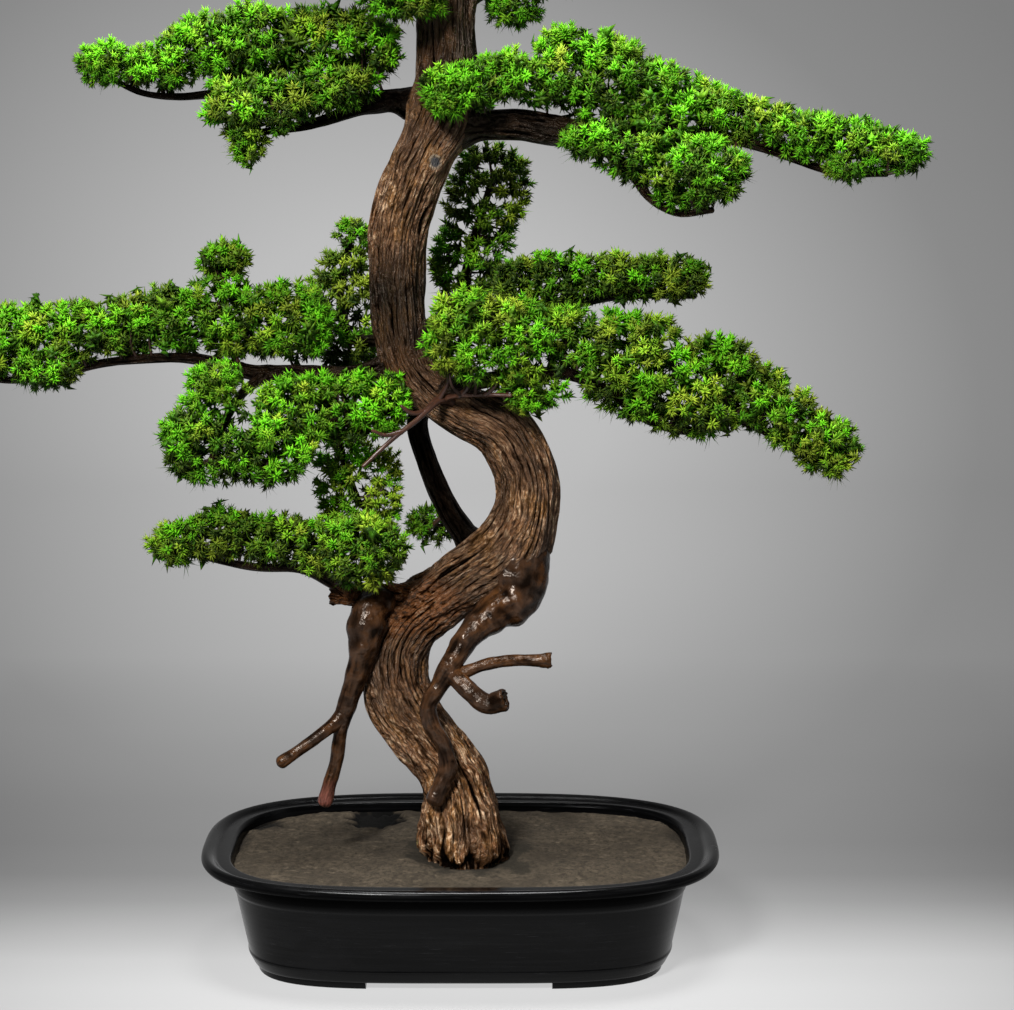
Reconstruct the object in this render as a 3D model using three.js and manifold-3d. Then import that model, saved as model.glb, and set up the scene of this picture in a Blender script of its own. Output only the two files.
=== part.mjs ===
// Myrtle bonsai in an oval tray pot. Millimetres, +Z up, +Y away from the viewer.
// The pot, the soil in it, the wood of the tree and each leafy spray are separate solids.
// The origin lies on the surface the pot stands on, under the middle of the whole plant.
import * as THREE from 'three';
import { mergeVertices } from 'three/addons/utils/BufferGeometryUtils.js';
import Module from 'manifold-3d';

const wasm = await Module();
wasm.setup();

// Pot
const POT_LENGTH = 412;
const POT_DEPTH = 296;
const POT_HEIGHT = 91;
const POT_SIDES = 32;
const PLAN_POWER = 2.9;
const PLAN_SHARPENING = 40;
const FOOT_HEIGHT = 3.6;
const FOOT_INSET = 45;
const FOOT_BAND = 22;
const FOOT_GAP_FRONT = 144;
const FOOT_GAP_SIDE = 96;

// Soil
const SOIL_TOP = 83;
const SOIL_FLOOR = 8.35;
const SOIL_MOUND = 3;

// Clearance between two pieces that touch in the real plant
const CLEARANCE = 0.35;

// Wood
const TRUNK_SIDES = 16;
const TRUNK_PITCH = 30;
const LIMB_SIDES = 7;
const TWIG_SIDES = 5;
const TWIG_RADIUS = 5.3;
const LIMB_PITCH = 33;

// Leafy sprays: a shoot is one pointed tuft, raised from a core that it hides
const SHOOT_LENGTH = 17;
const SHOOT_LEAST = 12;
const SHOOT_SPREAD = 0.22;
const SHOOT_LEAN = 0.2;
const SHOOT_RISE = 0.16;
const CORE_LEAST = 0.5;
const CORE_END = 12;
const NECK = 0.62;
const FACET = 17;
const COVERED = 0.72;
const WOOD_BERTH = 2.5;

// What a cut may leave loose and drop, in cubic millimetres
const CRUMB = 60;

// A repeatable random draw between 0 and 1
function drawer(seed) {
  let state = seed >>> 0;
  return () => {
    state = (state + 0x6d2b79f5) >>> 0;
    let t = Math.imul(state ^ (state >>> 15), 1 | state);
    t = (t + Math.imul(t ^ (t >>> 7), 61 | t)) ^ t;
    return ((t ^ (t >>> 14)) >>> 0) / 4294967296;
  };
}

// A closed mesh as a solid for cutting and joining
function solidOf(geometry) {
  const bare = new THREE.BufferGeometry();
  bare.setAttribute('position', geometry.getAttribute('position').clone());
  if (geometry.index) bare.setIndex(geometry.index);
  const merged = mergeVertices(bare, 1e-4);
  return new wasm.Manifold(new wasm.Mesh({
    numProp: 3,
    vertProperties: merged.getAttribute('position').array,
    triVerts: new Uint32Array(merged.index.array),
  }));
}

// The one body of a solid, as a three.js geometry, without the crumbs that a cut left loose
function geometryOf(solid) {
  const bodies = solid.decompose().sort((a, b) => b.volume() - a.volume());
  if (bodies.length > 1 && bodies[1].volume() > CRUMB) throw new Error('a piece falls apart');
  const mesh = bodies[0].getMesh();
  const geometry = new THREE.BufferGeometry();
  const points = new Float32Array(mesh.numVert * 3);
  for (let i = 0; i < mesh.numVert; i++) {
    points.set(mesh.vertProperties.subarray(i * mesh.numProp, i * mesh.numProp + 3), i * 3);
  }
  geometry.setAttribute('position', new THREE.BufferAttribute(points, 3));
  geometry.setIndex(new THREE.BufferAttribute(new Uint32Array(mesh.triVerts), 1));
  geometry.computeVertexNormals();
  return geometry;
}

function joined(solids) {
  return solids.reduce((whole, next) => whole.add(next));
}

// A closed skin over rings of points that all have the same number of points,
// with a middle point to close each end
function skin(rings, firstMiddle, lastMiddle) {
  const sides = rings[0].length;
  const points = [...rings.flat(), firstMiddle, lastMiddle];
  const first = points.length - 2;
  const last = points.length - 1;
  const faces = [];
  for (let ring = 0; ring < rings.length - 1; ring++) {
    for (let side = 0; side < sides; side++) {
      const a = ring * sides + side;
      const b = ring * sides + ((side + 1) % sides);
      faces.push(a, b, b + sides, a, b + sides, a + sides);
    }
  }
  const top = (rings.length - 1) * sides;
  for (let side = 0; side < sides; side++) {
    const next = (side + 1) % sides;
    faces.push(first, next, side);
    faces.push(last, top + side, top + next);
  }
  const geometry = new THREE.BufferGeometry();
  const flat = points.flatMap((point) => point.toArray());
  geometry.setAttribute('position', new THREE.Float32BufferAttribute(flat, 3));
  geometry.setIndex(faces);
  return geometry;
}

// Pot and soil

// One ring of the pot's plan, taken in from the rim's outer edge and set at a height.
// The plan is a full oval at the rim and nears a rounded rectangle further in.
function ovalRing(inset, height) {
  const power = PLAN_POWER + inset / PLAN_SHARPENING;
  const ring = [];
  for (let side = 0; side < POT_SIDES; side++) {
    const angle = (side / POT_SIDES) * Math.PI * 2;
    const c = Math.cos(angle);
    const s = Math.sin(angle);
    const reach = (Math.abs(c) ** power + Math.abs(s) ** power) ** (-1 / power);
    ring.push(new THREE.Vector3(
      c * reach * (POT_LENGTH / 2 - inset),
      s * reach * (POT_DEPTH / 2 - inset),
      height,
    ));
  }
  return ring;
}

function ovalSolid(profile) {
  const rings = profile.map(([inset, height]) => ovalRing(inset, height));
  const middle = (entry) => new THREE.Vector3(0, 0, entry[1]);
  return solidOf(skin(rings, middle(profile[0]), middle(profile[profile.length - 1])));
}

// Outer wall from the bottom up, each entry the inset from the rim's edge and the height
const POT_OUTSIDE = [
  [50, FOOT_HEIGHT],
  [42, 5.5],
  [37, 15],
  [37.6, 17],
  [32.5, 40],
  [27.5, 64],
  [26, 66],
  [23.5, 81],
  [3, 82.2],
  [0, 85.5],
  [1, 89.5],
  [4.5, POT_HEIGHT],
  [9, 90],
  [13, 87.4],
  [23.5, 88.2],
];
// Inner wall from the rim down to the floor
const POT_INSIDE = [
  [25.8, 85],
  [29.8, 66],
  [36, 40],
  [41, 17],
  [50, SOIL_FLOOR - CLEARANCE],
];

function buildPot() {
  const tub = ovalSolid([...POT_OUTSIDE, ...POT_INSIDE]);
  const footTop = FOOT_HEIGHT + 1.5;
  const footOuter = ovalSolid([[FOOT_INSET + 1, 0], [FOOT_INSET, footTop]]);
  const footInner = ovalSolid([[FOOT_INSET + FOOT_BAND, -1], [FOOT_INSET + FOOT_BAND, footTop + 1]]);
  const gapHeight = footTop * 3;
  const frontGap = solidOf(new THREE.BoxGeometry(FOOT_GAP_FRONT, POT_DEPTH, gapHeight));
  const sideGap = solidOf(new THREE.BoxGeometry(POT_LENGTH, FOOT_GAP_SIDE, gapHeight));
  const feet = footOuter.subtract(footInner).subtract(frontGap).subtract(sideGap);
  return tub.add(feet);
}

// The soil fills the pot, heaps a little towards the trunk and has a plain hole for it
function buildSoil(trunkHole) {
  const edge = SOIL_TOP - 1.5;
  const [rim, upper, middle, lower, floor] = POT_INSIDE;
  const share = (edge - upper[1]) / (rim[1] - upper[1]);
  const wall = [floor, lower, middle, upper, [upper[0] + (rim[0] - upper[0]) * share, edge]];
  const topInset = wall[4][0] + CLEARANCE;
  const profile = [
    ...wall.map(([inset, height]) => [inset + CLEARANCE, height]),
    [topInset + 8, SOIL_TOP - 0.5],
    [topInset + 38, SOIL_TOP],
  ];
  profile[0][1] = SOIL_FLOOR;
  const rings = profile.map(([inset, height]) => ovalRing(inset, height));
  const inner = ovalRing(topInset + 74, SOIL_TOP + SOIL_MOUND);
  [...rings[rings.length - 2], ...rings[rings.length - 1], ...inner].forEach((point) => {
    point.z += 0.9 * Math.sin(point.x / 23) * Math.cos(point.y / 17);
  });
  rings.push(inner);
  const heap = solidOf(skin(
    rings,
    new THREE.Vector3(0, 0, SOIL_FLOOR),
    new THREE.Vector3(0, 0, SOIL_TOP + SOIL_MOUND),
  ));
  return heap.subtract(trunkHole);
}

// Wood. Each station is a point on the centreline and the wood's radius there: x, y, z, radius.

const TRUNK = [
  [2, -25, 37, 31],
  [2, -26, 60, 36],
  [2, -26, 81, 37.3],
  [1, -26, 100, 36],
  [0, -26, 119, 33],
  [-3, -25, 139, 27.8],
  [-12, -23, 159, 25],
  [-30, -19, 183, 25.5],
  [-46, -15, 205, 27],
  [-52, -10, 227, 25.5],
  [-50, -5, 248, 24],
  [-40, -2, 267, 24],
  [-21, -1, 285, 24.5],
  [6, -3, 305, 26],
  [32, -5, 323, 26.5],
  [47, -6, 345, 26],
  [53, -6, 369, 24.5],
  [51, -4, 392, 23.5],
  [34, 0, 420, 22.5],
  [4, 4, 436, 21.5],
  [-23, 6, 452, 19.5],
  [-41, 8, 476, 18.5],
  [-47, 8, 506, 20.5],
  [-49, 6, 543, 21.5],
  [-47, 4, 578, 22],
  [-37, 2, 613, 23],
  [-27, 0, 637, 24],
  [-15, 2, 662, 25],
  [-10, 6, 693, 23.5],
  [-9, 8, 747, 22],
  [-4, 10, 793, 19],
  [7, 8, 831, 15],
  [14, 2, 868, 10.5],
  [16, -4, 901, 7],
  [13, -5, 933, 4],
];

const LIMBS = {
  topLeft: [
    [-15, 4, 668, 12], [-38, 2, 675, 11], [-57, 0, 677, 8.5], [-84, -6, 669, 5.5],
    [-111, -12, 660, 4.2], [-154, -20, 653, 3],
  ],
  topLeftUpper: [
    [-62, 0, 676, 6], [-99, 0, 678, 5], [-169, 8, 684, 4], [-215, 6, 680, 3], [-244, 4, 683, 2.6],
    [-268, 2, 694, 2.2],
  ],
  topRight: [
    [-8, 2, 658, 17], [24, -6, 659, 12], [48, -12, 659, 12], [72, -16, 655, 12.4],
    [101, -12, 652, 9.5], [139, -6, 653, 7], [178, 0, 652, 5.6], [222, 2, 645, 4.6],
    [254, 2, 635, 4], [291, 2, 622, 3], [330, 0, 621, 2.4],
  ],
  topRightLower: [
    [104, -14, 651, 6.5], [132, -30, 623, 4.2], [146, -34, 604, 3.4], [167, -36, 593, 3],
    [193, -36, 595, 2.6],
  ],
  middleLeft: [
    [-40, 10, 477, 11], [-62, 10, 469, 9.6], [-86, 8, 464, 8], [-125, 2, 466, 7.2],
    [-160, -4, 467, 6.4], [-190, -6, 475, 5], [-218, -6, 479, 4.4], [-278, 0, 474, 3.6],
    [-313, 4, 466, 3.2], [-350, 6, 460, 2.8], [-380, 6, 463, 2.4],
  ],
  middleLeftTwig: [[-172, -5, 469, 4], [-180, 0, 499, 3], [-183, 6, 539, 2.4]],
  lowLeft: [[-150, -3, 466, 5], [-168, -26, 453, 4], [-180, -42, 433, 3.4], [-190, -46, 405, 2.6]],
  lowLeftInner: [
    [-36, 2, 459, 7], [-66, -10, 433, 5], [-104, -18, 427, 4.2], [-138, -34, 407, 3.4],
    [-166, -42, 395, 2.6],
  ],
  hanging: [[-100, 6, 465, 4.6], [-98, 16, 433, 3.6], [-92, 18, 393, 3], [-80, 22, 359, 2.6]],
  bottomLeft: [
    [-84, -10, 293, 6.5], [-98, -22, 303, 5], [-122, -24, 315, 4], [-160, -20, 316, 3.4],
    [-195, -20, 323, 2.8], [-224, -20, 333, 2.2],
  ],
  brokenStump: [[-22, -2, 283, 15], [-47, -6, 288, 10.5], [-71, -8, 291, 9], [-99, -8, 292, 8.6]],
  darkBackLimb: [
    [-16, 22, 454, 11], [-34, 30, 427, 8.4], [-27, 34, 393, 8.6], [-15, 30, 364, 9.4],
    [1, 22, 338, 10.4], [19, 6, 321, 13],
  ],
  backBottomTwig: [[-10, 28, 353, 3.6], [-20, 42, 341, 2.8], [-26, 54, 333, 2.4]],
  burl: [
    [46, -6, 322, 24], [45, -15, 301, 24], [40, -22, 289, 19.6], [28, -29, 281, 15],
    [15, -35, 272, 11.7], [5, -41, 262, 9.7], [-4, -47, 249, 8.5], [-15, -51, 229, 7.2],
    [-24, -52, 213, 6.6], [-22, -53, 198, 6.6], [-12, -53, 180, 6.6], [-9, -54, 163, 7],
    [-14, -56, 150, 7.2], [-19, -58, 139, 7.4],
  ],
  hollowRoot: [
    [-10, -48, 241, 6.5], [1, -55, 231, 7], [11, -60, 223, 7.4], [22, -63, 216, 7.8],
    [33, -65, 219, 9],
  ],
  sideRoot: [
    [-4, -50, 235, 5], [8, -50, 240, 4.8], [24, -48, 245, 4.8], [42, -46, 247, 4.4],
    [60, -46, 247, 4.8], [69, -46, 247, 6],
  ],
  leftRoot: [
    [-62, -16, 288, 13], [-71, -24, 281, 14], [-73, -28, 271, 15], [-75, -30, 258, 12.6],
    [-78, -30, 242, 9.8], [-84, -30, 222, 8], [-91, -30, 200, 6.8], [-95, -30, 180, 5.6],
    [-98, -31, 160, 5.2], [-103, -34, 143, 5.4], [-106, -34, 131, 6],
  ],
  leftRootFork: [
    [-88, -30, 208, 6], [-96, -33, 196, 5.6], [-107, -39, 188, 5], [-123, -45, 177, 4.8],
    [-139, -48, 166, 5.2],
  ],
  middleRight: [
    [-18, -2, 451, 9], [14, -14, 461, 6.4], [52, -20, 467, 5.6], [88, -22, 467, 5],
    [118, -24, 453, 4.4], [146, -24, 433, 4], [180, -18, 423, 3.6], [214, -10, 431, 3.2],
    [248, -2, 415, 2.8], [288, 2, 395, 2.4],
  ],
  middleRightUpper: [
    [-38, 14, 489, 8], [-6, 30, 501, 5.6], [36, 36, 507, 5], [84, 38, 516, 4.2],
    [124, 42, 523, 3.6], [186, 44, 523, 2.4],
  ],
  backUpper: [
    [-42, 16, 495, 8], [-24, 50, 499, 6], [-2, 76, 515, 5.2], [8, 84, 555, 4.2], [24, 86, 609, 3],
  ],
  backLeft: [
    [-46, 16, 493, 7], [-66, 46, 487, 5.2], [-90, 68, 489, 4.4], [-97, 76, 523, 3.6],
    [-88, 76, 569, 2.6],
  ],
  frontTwig: [
    [-4, -8, 443, 6], [-14, -24, 449, 5], [-32, -40, 435, 3], [-53, -50, 419, 2.6],
    [-73, -56, 401, 2.2],
  ],
  frontTwigRight: [[-12, -22, 449, 4], [-2, -30, 452, 3], [22, -38, 454, 2.6], [40, -44, 454, 2.2]],
  crownLeft: [
    [-10, 4, 748, 9], [-34, -14, 759, 6], [-66, -16, 775, 5], [-104, -12, 783, 4],
    [-136, -8, 787, 3],
  ],
  crownRight: [
    [-2, 12, 755, 9], [26, 22, 763, 6], [62, 22, 779, 5], [98, 18, 793, 4], [130, 14, 801, 3],
  ],
  crownBack: [[-4, 14, 771, 8], [4, 46, 779, 6], [10, 78, 785, 4.4], [10, 104, 793, 3]],
  crownFront: [[8, 4, 841, 7], [4, -24, 849, 4.4], [-2, -50, 853, 3]],
};

// Ridges and hollows of the bark, as a factor on the radius
function barkFactor(angle, along) {
  const flute = 0.055 * Math.cos(4 * angle + along / 34) + 0.045 * Math.cos(7 * angle - along / 21);
  const swelling = 0.035 * Math.sin(along / 17 + 2 * angle);
  return 1 + flute + swelling;
}

// A piece of wood along its stations, with the frames carried along the curve without twist
function limbSolid(stations, sides, pitch, grow, factor) {
  const middles = stations.map(([x, y, z]) => new THREE.Vector3(x, y, z));
  const curve = new THREE.CatmullRomCurve3(middles, false, 'centripetal');
  const length = curve.getLength();
  const rings = Math.max(1, Math.round(length / pitch));
  const frames = curve.computeFrenetFrames(rings, false);
  const lengths = stations.map((_, i) => lengthAt(curve, stations.length, i) / length);
  const skinRings = [];
  for (let ring = 0; ring <= rings; ring++) {
    const share = ring / rings;
    const middle = curve.getPointAt(share);
    const radius = radiusAt(stations, lengths, share);
    const points = [];
    for (let side = 0; side < sides; side++) {
      const angle = (side / sides) * Math.PI * 2;
      const reach = radius * factor(angle, share * length) + grow;
      points.push(middle.clone()
        .addScaledVector(frames.normals[ring], Math.cos(angle) * reach)
        .addScaledVector(frames.binormals[ring], Math.sin(angle) * reach));
    }
    skinRings.push(points);
  }
  const bulge = 0.35;
  const start = curve.getPointAt(0).addScaledVector(frames.tangents[0], -bulge * stations[0][3] - grow);
  const lastRadius = stations[stations.length - 1][3];
  const end = curve.getPointAt(1).addScaledVector(frames.tangents[rings], bulge * lastRadius + grow);
  return solidOf(skin(skinRings, start, end));
}

function lengthAt(curve, count, index) {
  const steps = 40;
  const lengths = curve.getLengths(steps * (count - 1));
  return lengths[index * steps];
}

function radiusAt(stations, lengths, share) {
  let next = 1;
  while (next < stations.length - 1 && lengths[next] < share) next++;
  const span = (share - lengths[next - 1]) / (lengths[next] - lengths[next - 1]);
  const blend = THREE.MathUtils.smoothstep(span, 0, 1);
  return THREE.MathUtils.lerp(stations[next - 1][3], stations[next][3], blend);
}

function buildWood(grow) {
  const pieces = [limbSolid(TRUNK, TRUNK_SIDES, TRUNK_PITCH, grow, barkFactor)];
  for (const stations of Object.values(LIMBS)) {
    const sides = stations[1][3] < TWIG_RADIUS ? TWIG_SIDES : LIMB_SIDES;
    pieces.push(limbSolid(stations, sides, LIMB_PITCH, grow, () => 1));
  }
  return joined(pieces);
}

// Points along the middle of all the wood, each with its radius, for shoots to keep clear of
const WOOD_POINTS = [TRUNK, ...Object.values(LIMBS)].flatMap((stations) => (
  stations.slice(1).flatMap((to, i) => [0.25, 0.5, 0.75, 1].map((share) => (
    stations[i].map((from, k) => THREE.MathUtils.lerp(from, to[k], share))
  )))
));

function meetsWood(base, tip) {
  return [0.5, 0.75, 1].some((share) => {
    const point = base.clone().lerp(tip, share);
    return WOOD_POINTS.some(([x, y, z, radius]) => (
      Math.hypot(point.x - x, point.y - y, point.z - z) < radius + WOOD_BERTH
    ));
  });
}

// Leafy sprays. A spray is one or more strands of foliage along its branch. A strand is a row of
// clumps: the middle of each clump, then how far its leaf tips reach in x, y and z.

const SPRAYS = {
  spray_top_left: [
    [
      [-268, 2, 706, 32, 26, 21], [-226, 6, 702, 28, 28, 21], [-205, 8, 722, 25, 26, 25],
      [-161, 10, 718, 46, 42, 40], [-96, 6, 715, 45, 38, 40], [-66, 8, 718, 27, 28, 32],
    ],
    [[-155, -28, 674, 46, 32, 29], [-94, -18, 690, 38, 30, 24]],
    [[-157, -28, 662, 14, 14, 14], [-160, -30, 641, 15, 14, 15]],
  ],
  spray_top_right: [
    [
      [-6, -47, 685, 28, 24, 26], [43, -26, 697, 38, 32, 24], [108, -8, 693, 48, 42, 42],
      [168, 6, 667, 46, 40, 38], [218, 8, 663, 32, 28, 24], [270, 4, 651, 36, 28, 25],
      [312, 3, 645, 32, 27, 22], [338, 2, 638, 30, 26, 21],
    ],
    [[108, -36, 649, 35, 26, 22], [178, -36, 625, 49, 34, 36]],
    [[284, 0, 638, 14, 14, 14], [298, -6, 626, 19, 16, 14]],
    [[80, -6, 718, 24, 24, 22]],
  ],
  spray_crown_left: [[[-40, -36, 755, 38, 26, 23], [-100, -14, 801, 50, 38, 32]]],
  spray_crown_right: [[[43, 30, 749, 28, 26, 21], [96, 20, 807, 52, 36, 32]]],
  spray_crown_back: [[[10, 88, 809, 44, 40, 32]]],
  spray_crown_front: [[[-2, -50, 867, 36, 30, 26]]],
  spray_apex: [[[-30, -2, 891, 42, 38, 30], [18, -8, 939, 48, 42, 34], [62, 2, 893, 36, 34, 28]]],
  spray_back_upper: [[[4, 84, 547, 35, 30, 46], [24, 86, 607, 40, 32, 42]]],
  spray_back_left: [
    [[-88, 68, 478, 30, 26, 32], [-97, 76, 525, 35, 30, 27], [-87, 78, 567, 19, 18, 21]],
  ],
  spray_middle_left: [
    [
      [-366, 4, 492, 38, 34, 35], [-322, -4, 497, 36, 34, 32], [-262, 2, 503, 35, 32, 28],
      [-222, 0, 510, 38, 34, 31], [-174, 4, 507, 40, 34, 36], [-130, 6, 505, 38, 32, 38],
    ],
    [[-179, 4, 527, 20, 20, 20], [-183, 8, 552, 24, 22, 23]],
    [[-322, -16, 474, 34, 28, 24]],
  ],
  spray_low_left: [
    [
      [-201, -46, 420, 33, 30, 38], [-149, -42, 416, 44, 30, 38], [-108, -14, 440, 32, 28, 34],
      [-66, -18, 444, 34, 28, 33],
    ],
    [[-192, -44, 443, 20, 20, 20], [-187, -44, 466, 25, 21, 18]],
    [[-130, -24, 450, 30, 24, 22]],
  ],
  spray_hanging: [
    [[-93, 18, 390, 28, 24, 24], [-92, 18, 360, 28, 24, 24]],
    [[-84, 24, 400, 18, 18, 18], [-62, 34, 386, 18, 17, 20], [-60, 34, 356, 17, 16, 22]],
  ],
  spray_bottom_left: [
    [
      [-217, -20, 335, 32, 28, 22], [-190, -22, 344, 26, 26, 26], [-150, -20, 339, 36, 30, 25],
      [-112, -32, 336, 28, 27, 26], [-76, -44, 333, 42, 32, 35],
    ],
  ],
  spray_bottom_back: [[[-22, 58, 337, 27, 18, 19]]],
  spray_middle_right: [
    [
      [6, -46, 501, 38, 32, 42], [78, -24, 495, 42, 30, 33], [140, -26, 474, 46, 36, 50],
      [183, -20, 449, 37, 32, 37], [223, -6, 453, 36, 30, 32], [259, 0, 431, 29, 27, 29],
      [290, 2, 407, 29, 26, 29],
    ],
    [[42, -36, 472, 18, 17, 16], [54, -32, 450, 24, 18, 15]],
    [[200, -12, 478, 34, 26, 26]],
  ],
  spray_middle_right_upper: [
    [[60, 36, 532, 42, 27, 31], [126, 42, 539, 36, 28, 25], [176, 44, 537, 26, 24, 24]],
  ],
};

// How deep a point lies in a clump: below 1 is inside the reach of its leaf tips
function depthIn([x, y, z, rx, ry, rz], point) {
  return Math.hypot((point.x - x) / rx, (point.y - y) / ry, (point.z - z) / rz);
}

function reachAlong([, , , rx, ry, rz], direction) {
  return 1 / Math.hypot(direction.x / rx, direction.y / ry, direction.z / rz);
}

// How far the outline of a row of clumps lies from a point on its middle line
function outlineFrom(clumps, point, direction) {
  let farthest = 0;
  for (const clump of clumps) {
    const depth = depthIn(clump, point);
    if (depth >= 1) continue;
    const [x, y, z, rx, ry, rz] = clump;
    const b = ((point.x - x) * direction.x) / rx ** 2 + ((point.y - y) * direction.y) / ry ** 2
      + ((point.z - z) * direction.z) / rz ** 2;
    const a = 1 / reachAlong(clump, direction) ** 2;
    farthest = Math.max(farthest, (Math.sqrt(b * b + a * (1 - depth * depth)) - b) / a);
  }
  if (farthest > 0) return farthest;
  const nearest = clumps.reduce((best, clump) => (
    depthIn(clump, point) < depthIn(best, point) ? clump : best
  ));
  return NECK * reachAlong(nearest, direction);
}

// The middle line of a strand, from the outermost leaf tip at one end to that at the other
function strandPath(clumps) {
  const middles = clumps.map(([x, y, z]) => new THREE.Vector3(x, y, z));
  const last = middles.length - 1;
  const ahead = new THREE.Vector3(1, 0, 0);
  const behind = new THREE.Vector3(-1, 0, 0);
  if (last > 0) {
    ahead.subVectors(middles[1], middles[0]).normalize();
    behind.subVectors(middles[last - 1], middles[last]).normalize();
  }
  const start = middles[0].clone().addScaledVector(ahead, -reachAlong(clumps[0], ahead));
  const end = middles[last].clone().addScaledVector(behind, -reachAlong(clumps[last], behind));
  return new THREE.CatmullRomCurve3([start, ...middles, end], false, 'centripetal');
}

// One strand: a faceted core, with every facet that shows raised into a pointed shoot
function strandSolid(clumps, others, neighbours, draw) {
  const path = strandPath(clumps);
  const length = path.getLength();
  const ringCount = Math.max(3, Math.round((length - 2 * CORE_END) / FACET));
  const widest = Math.max(...clumps.map(([, , , , ry, rz]) => (ry + rz) / 2 - SHOOT_LENGTH));
  const sides = THREE.MathUtils.clamp(Math.round((Math.PI * 2 * widest) / FACET), 5, 9);
  const points = [];
  const origins = [];
  for (let ring = 0; ring < ringCount; ring++) {
    const along = CORE_END + ((ring + 0.5) / ringCount) * (length - 2 * CORE_END);
    const origin = path.getPointAt(along / length);
    const tangent = path.getTangentAt(along / length);
    const side = new THREE.Vector3(0, 1, 0).addScaledVector(tangent, -tangent.y).normalize();
    const up = tangent.clone().cross(side);
    for (let corner = 0; corner < sides; corner++) {
      const angle = ((corner + (ring % 2) / 2) / sides) * Math.PI * 2;
      const direction = side.clone().multiplyScalar(Math.cos(angle));
      direction.addScaledVector(up, Math.sin(angle));
      const outline = outlineFrom(clumps, origin, direction);
      const reach = Math.max(outline - SHOOT_LENGTH, outline * CORE_LEAST);
      const uneven = 1 + SHOOT_SPREAD * (draw() - 0.5);
      points.push(origin.clone().addScaledVector(direction, reach * uneven));
      origins.push(origin);
    }
  }
  const deep = Math.min((3 * CORE_END) / length, 0.5);
  const first = points.push(path.getPointAt(CORE_END / length)) - 1;
  origins.push(path.getPointAt(deep));
  const last = points.push(path.getPointAt(1 - CORE_END / length)) - 1;
  origins.push(path.getPointAt(1 - deep));
  const facets = [];
  for (let corner = 0; corner < sides; corner++) {
    const next = (corner + 1) % sides;
    facets.push([first, corner, next]);
    for (let ring = 0; ring < ringCount - 1; ring++) {
      const here = ring * sides;
      const above = here + sides;
      if (ring % 2 === 0) {
        facets.push([here + corner, above + corner, here + next]);
        facets.push([here + next, above + corner, above + next]);
      } else {
        facets.push([here + corner, above + corner, above + next]);
        facets.push([here + corner, above + next, here + next]);
      }
    }
    facets.push([last, (ringCount - 1) * sides + next, (ringCount - 1) * sides + corner]);
  }
  const faces = [];
  for (const [a, c, b] of facets) {
    const base = points[a].clone().add(points[b]).add(points[c]).divideScalar(3);
    const origin = origins[a].clone().add(origins[b]).add(origins[c]).divideScalar(3);
    const out = base.clone().sub(origin).normalize();
    const direction = out.clone();
    direction.x += SHOOT_LEAN * (draw() - 0.5) * 2;
    direction.y += SHOOT_LEAN * (draw() - 0.5) * 2;
    direction.z += SHOOT_RISE * draw();
    const outline = outlineFrom(clumps, origin, out) * (1 + SHOOT_SPREAD * (draw() - 0.5));
    const rise = Math.max(outline - base.distanceTo(origin), SHOOT_LEAST);
    const tip = base.clone().addScaledVector(direction.normalize(), rise);
    const hidden = others.some((clump) => depthIn(clump, tip) < COVERED);
    const crowded = neighbours.some((clump) => depthIn(clump, tip) < 1);
    if (hidden || crowded || meetsWood(base, tip)) {
      faces.push(a, b, c);
      continue;
    }
    const top = points.push(tip) - 1;
    faces.push(a, b, top, b, c, top, c, a, top);
  }
  const geometry = new THREE.BufferGeometry();
  const flat = points.flatMap((point) => point.toArray());
  geometry.setAttribute('position', new THREE.Float32BufferAttribute(flat, 3));
  geometry.setIndex(faces);
  return solidOf(geometry);
}

function buildSpray(name, seed) {
  const draw = drawer(seed);
  const strands = SPRAYS[name];
  const otherNames = Object.keys(SPRAYS).filter((other) => other !== name);
  const neighbours = otherNames.flatMap((other) => SPRAYS[other].flat());
  return joined(strands.map((strand) => {
    const others = strands.filter((other) => other !== strand).flat();
    return strandSolid(strand, others, neighbours, draw);
  }));
}

// Assembly

const MATERIALS = {
  pot: new THREE.MeshStandardMaterial({ color: 0x151515, roughness: 0.42, metalness: 0 }),
  soil: new THREE.MeshStandardMaterial({ color: 0x3a342b, roughness: 0.95, metalness: 0 }),
  wood: new THREE.MeshStandardMaterial({ color: 0x4b2f20, roughness: 0.6, metalness: 0 }),
  leaf: new THREE.MeshStandardMaterial({ color: 0x3f8f1d, roughness: 0.55, metalness: 0 }),
};

const plant = new THREE.Group();

function place(name, solid, material) {
  const mesh = new THREE.Mesh(geometryOf(solid), material);
  mesh.name = name;
  plant.add(mesh);
}

const wood = buildWood(0);
const woodRoom = buildWood(CLEARANCE);
place('pot', buildPot(), MATERIALS.pot);
place('soil', buildSoil(woodRoom), MATERIALS.soil);
place('trunk', wood, MATERIALS.wood);
Object.keys(SPRAYS).forEach((name, index) => {
  place(name, buildSpray(name, index + 1).subtract(woodRoom), MATERIALS.leaf);
});

// The middle of the whole plant goes over the origin
const extent = new THREE.Box3().setFromObject(plant);
const middle = extent.getCenter(new THREE.Vector3());
plant.position.set(-middle.x, -middle.y, -extent.min.z);

export default plant;
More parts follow.
